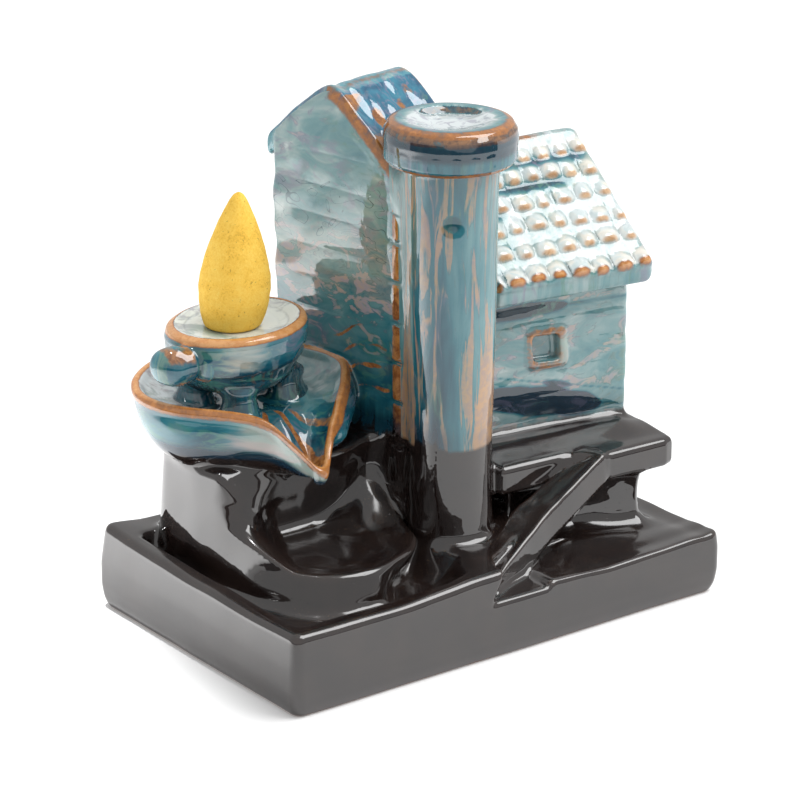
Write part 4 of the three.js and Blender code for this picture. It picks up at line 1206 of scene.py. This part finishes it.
        # the foot lozenge is also painted navy and black, as part of the painted dark reflection
        A["navy"] = np.maximum(one * 0.35, foot * front)
        A["zb"] = np.where(front & (foot > 0.5), np.maximum(A["zb"], z - 2.6), A["zb"])
        fr = box2(wx + 1.9 + 0.05 * wz, wz - 0.6 + 0.03 * wx, 5.0, 4.5, 1.8)
        rw = box2(wx + 2.1 + 0.07 * wz, wz - 0.6 + 0.06 * wx, 3.1, 2.7, 0.9)
        ring = (1 - sstep(-0.5, 0.5, fr)) * sstep(-0.5, 0.2, rw) * (y < 0)
        A["paint"] = ring * (0.50 - 0.12 * sstep(0.5, 2.5, wx) + 0.10 * sstep(2.2, 3.6, wz))
        A["cream"] = np.where((ring > 0.5) & (wx > 1.0), 0.9, A["cream"])
        A["crease"] = A["crease"] * 0.5
        A["crease"] = np.where((y < 0) & (rw < 0) & (wy > 0.6), 0.35, A["crease"])
    if name == "cottage_roof":
        u, v, n = roof_uv(x, y, z)
        ub, vb, nb = back_uv(x, y, z)
        tf, tb = tiles(u, v)[1], tiles(ub + 34.6, vb)[1]
        front = n > nb
        tip = np.where(front, tf, tb)
        vv = np.where(front, v, vb)
        top = (N[:, 2] > 0.25) & (n > -2.5)
        strips = sum(gauss(v - vs - 0.2, 1.25) * sstep(u1 + 2, u1 - 3, u) for vs, u1 in TERR) * front
        dome = np.clip(np.where(front, tiles(u, v)[0], tiles(ub + 34.6, vb)[0]) / 0.7, 0, 1)
        A["tone"] = np.where(top, 1.10 + 0.34 * dome - 1.0 * strips * (1 - dome), 0.98)
        A["cream"] = np.where(top, 0.40 + 0.32 * dome - 0.3 * sstep(12, 0, u) * (1 - dome) - 0.8 * strips * (1 - dome), 0.05)
        row0 = sstep(3.5, 1.5, vv)
        A["paint"] = tip * 0.84 * (z > 65.6) * (1 - row0)
        A["edge"] = A["edge"] * 0.10
        A["edge"] = np.maximum(A["edge"], tip * 0.95 * row0 * (z > 65.4))
        A["edge"] = np.maximum(A["edge"], 0.66 * sstep(0.7, 1.4, z - 87.0) * sstep(50, 34, x) + 0.55 * gauss(x - 50.7, 0.9) * (N[:, 0] > 0.25) * (N[:, 2] > 0.1))
        A["peach"] = np.where(top, 0.25, 0.15)
        A["zb"], A["navy"] = one * 0.0, one * 0.0
        A["crease"] = A["crease"] * np.where(row0 > 0.5, 0.8, 0.25) * top
    return A


# ------------------------------------------------------------------ the pieces --
GLAZE = glaze_material("kiln_glaze", {"cream": (176, 164, 156), "cream2": (150, 172, 162)})
GLAZE_WALL = glaze_material("kiln_glaze_walls", {"soft": 0.09, "ripple": 0.010, "peach": ((184, 162, 148), (166, 156, 166)), "cream": (168, 164, 158), "cream2": (146, 168, 158)})
GLAZE_BLUE = glaze_material("kiln_glaze_blue", {"soft": 0.06, "ripple": 0.01, "ramp": ((8, 38, 62), (16, 78, 110), (40, 118, 144), (88, 148, 158), (164, 180, 176), (210, 206, 194)), "paint": (124, 74, 26), "paint2": (170, 110, 44), "cream": (208, 194, 172), "cream2": (168, 184, 184), "peach": ((186, 164, 140), (150, 150, 160))})
GLAZE_SHAFT = glaze_material("kiln_glaze_shaft", {"soft": 0.05, "peach": ((182, 144, 106), (160, 134, 118)), "cream": (170, 164, 152)})
GLAZE_ROOF = glaze_material("kiln_glaze_roof", {"soft": 0.11, "ripple": 0.05, "rough": 0.30, "soft_paint": (0.22, 0.86), "paint": (192, 142, 96), "paint2": (216, 180, 142), "cream": (230, 223, 209), "cream2": (196, 210, 210)})
GLAZE_CAP = glaze_material("kiln_glaze_cap", {"soft": 0.05, "ripple": 0.01, "paint": (84, 62, 52), "paint2": (146, 104, 68), "cream": (200, 198, 190), "cream2": (176, 190, 192)})
GLAZE_POT = glaze_material("kiln_glaze_pot", {"soft": 0.04, "ripple": 0.006, "ramp": ((10, 44, 58), (18, 80, 98), (46, 114, 126), (96, 140, 141), (150, 168, 166), (228, 236, 232)), "paint": (116, 74, 48), "paint2": (158, 112, 74), "cream": (176, 166, 148), "cream2": (168, 176, 170)})
GLAZE_OF = {"tall_house_walls": GLAZE_WALL, "tall_house_roof": GLAZE_BLUE, "cottage_walls": GLAZE_WALL, "chimney_shaft": GLAZE_SHAFT, "cottage_roof": GLAZE_ROOF,
            "chimney_cap": GLAZE_CAP, "smoke_pot": GLAZE_POT, "pot_peg": GLAZE_POT}
for name in FIELDS:
    ob, P, N, bend = make(name)
    for k, v in looks(name, P, N, bend).items():
        attribute(ob, k, v)
    ob.data.materials.append(GLAZE_OF.get(name, GLAZE))
    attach(ob, "ceramic_body")
    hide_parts(name)

# the loose cone: pressed powder, a little lopsided
CONE = [(0, 0), (4.6, 0), (5.45, 0.15), (5.75, 0.6), (6.15, 1.8), (6.6, 3.4), (7.0, 6.0), (7.12, 8.4), (6.9, 10.6), (6.35, 13.4), (5.6, 16.2), (4.65, 19.0), (3.65, 21.7), (2.6, 24.0), (1.75, 25.8), (1.0, 26.9), (0.45, 27.3), (0, 27.4)]


def make_cone():
    pr = np.array(CONE, float)
    s = np.concatenate([[0], np.cumsum(np.hypot(*np.diff(pr, axis=0).T))])
    t = np.linspace(0, s[-1], 110)
    r, h = np.interp(t, s, pr[:, 0]), np.interp(t, s, pr[:, 1])
    for _ in range(3):
        r[1:-1] = (r[:-2] + 2 * r[1:-1] + r[2:]) / 4
        h[1:-1] = (h[:-2] + 2 * h[1:-1] + h[2:]) / 4
    h -= h.min()
    n = 144
    ang = np.linspace(0, 2 * math.pi, n, endpoint=False)
    vs, fs = [(0.0, 0.0, h[0])], []
    for i in range(1, len(t) - 1):
        rr = r[i] * np.ones(n)
        vs += list(zip(rr * np.cos(ang), rr * np.sin(ang), h[i] * np.ones(n)))
    vs.append((0.0, 0.0, h[-1]))
    V = np.array(vs, float)
    k = 1 + 0.012 * wob(V[:, 0], V[:, 1], V[:, 2], 301, 9) + 0.006 * wob(V[:, 0], V[:, 1], V[:, 2], 302, 2.6) * (V[:, 2] > 0.4)
    V[:, 0] *= k
    V[:, 1] *= k
    lean = V[:, 2] / 27.4
    V[:, 0] += -32.9 + 1.28 * lean
    V[:, 1] += 14.7 - 0.96 * lean
    V[:, 2] += 61.72
    rings = len(t) - 2
    for j in range(n):
        fs.append((0, 1 + (j + 1) % n, 1 + j))
        last = len(V) - 1
        fs.append((last, 1 + (rings - 1) * n + j, 1 + (rings - 1) * n + (j + 1) % n))
    for i in range(rings - 1):
        for j in range(n):
            a, b = 1 + i * n + j, 1 + i * n + (j + 1) % n
            fs.append((a, b, b + n, a + n))
    me = bpy.data.meshes.new("incense_cone_look")
    me.from_pydata([tuple(v * MM) for v in V], [], fs)
    me.polygons.foreach_set("use_smooth", np.ones(len(fs), bool))
    me.update()
    ob = bpy.data.objects.new("incense_cone_look", me)
    bpy.context.scene.collection.objects.link(ob)
    ob.data.materials.append(incense_material())
    return ob


cone = make_cone()
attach(cone, "cone")
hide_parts("incense_cone")

# ------------------------------------------------------------------ the room --
me = bpy.data.meshes.new("floor")
R = 3.0
me.from_pydata([(-R, -R, 0), (R, -R, 0), (R, R, 0), (-R, R, 0)], [], [(0, 1, 2, 3)])
floor = bpy.data.objects.new("floor", me)
bpy.context.scene.collection.objects.link(floor)
T = Tree("floor_white")
b = T.node("ShaderNodeBsdfPrincipled")
b.inputs["Base Color"].default_value = (0.92, 0.92, 0.92, 1)
b.inputs["Emission Color"].default_value = (1.0, 1.0, 1.0, 1)
b.inputs["Emission Strength"].default_value = 0.12
b.inputs["Roughness"].default_value = 0.8
b.inputs["Specular IOR Level"].default_value = 0.2
o = T.node("ShaderNodeOutputMaterial")
T.put(o.inputs[0], b.outputs[0])
me.materials.append(T.mat)

me = bpy.data.meshes.new("room_floor")
cut = [math.radians(t) for t in np.linspace(-70, 85, 32)]
ahead = math.atan2(-0.804, -0.595)
vs = [(r * math.cos(ahead + t), r * math.sin(ahead + t), 0.0004) for r in (0.284, 3.0) for t in cut]
n = len(cut)
me.from_pydata(vs, [], [(i, i + n, i + n + 1, i + 1) for i in range(n - 1)])
dark = bpy.data.objects.new("room_floor", me)
bpy.context.scene.collection.objects.link(dark)
T = Tree("floor_dark")
b = T.node("ShaderNodeBsdfPrincipled")
b.inputs["Base Color"].default_value = (0.05, 0.05, 0.055, 1)
b.inputs["Roughness"].default_value = 0.9
o = T.node("ShaderNodeOutputMaterial")
T.put(o.inputs[0], b.outputs[0])
me.materials.append(T.mat)

world = bpy.data.worlds.new("studio")
bpy.context.scene.world = world
world.use_nodes = True
world.node_tree.nodes["Background"].inputs[0].default_value = (1.0, 1.0, 1.0, 1)
world.node_tree.nodes["Background"].inputs[1].default_value = 0.68


def soft_box(name, direction, dist, size, level, aim=(0, 0, 0.04)):
    """A square light of the given brightness, seen from the object in that direction."""
    from mathutils import Vector
    d = Vector(direction).normalized()
    L = bpy.data.lights.new(name, "AREA")
    L.shape = "RECTANGLE"
    L.size, L.size_y = size
    L.energy = level * math.pi * size[0] * size[1]
    ob = bpy.data.objects.new(name, L)
    bpy.context.scene.collection.objects.link(ob)
    ob.location = Vector(aim) + d * dist
    ob.rotation_euler = (-d).to_track_quat("-Z", "Y").to_euler()
    return ob


soft_box("box_top", (0.40, -0.34, 0.85), 1.10, (0.84, 0.84), 5.2)


def wash(name, at, aim, size, power):
    """A spot that brightens the table beside the burner."""
    L = bpy.data.lights.new(name, "SPOT")
    L.spot_size, L.spot_blend, L.energy, L.shadow_soft_size = math.radians(size), 1.0, power, 0.03
    ob = bpy.data.objects.new(name, L)
    bpy.context.scene.collection.objects.link(ob)
    from mathutils import Vector
    ob.location = at
    ob.rotation_euler = (Vector(aim) - Vector(at)).to_track_quat("-Z", "Y").to_euler()


wash("table_wash", (-0.144, 0.098, 0.95), (-0.140, 0.094, 0.0), 17.0, 88.0)

# ------------------------------------------------------------------ camera --
from mathutils import Matrix, Vector
az, el = math.radians(-36.5), math.radians(20.4)
back = Vector((math.sin(az) * math.cos(el), -math.cos(az) * math.cos(el), math.sin(el)))
cam = bpy.data.cameras.new("camera")
cam.sensor_width = 36.0
cam.lens = 166.5
cam.clip_start, cam.clip_end = 0.05, 20.0
co = bpy.data.objects.new("camera", cam)
bpy.context.scene.collection.objects.link(co)
co.location = Vector((-0.0028, 0.0, 0.0437)) + back * 0.740
co.rotation_euler = (-back).to_track_quat("-Z", "Y").to_euler()
bpy.context.scene.camera = co
bpy.context.scene.view_settings.view_transform = "Standard"
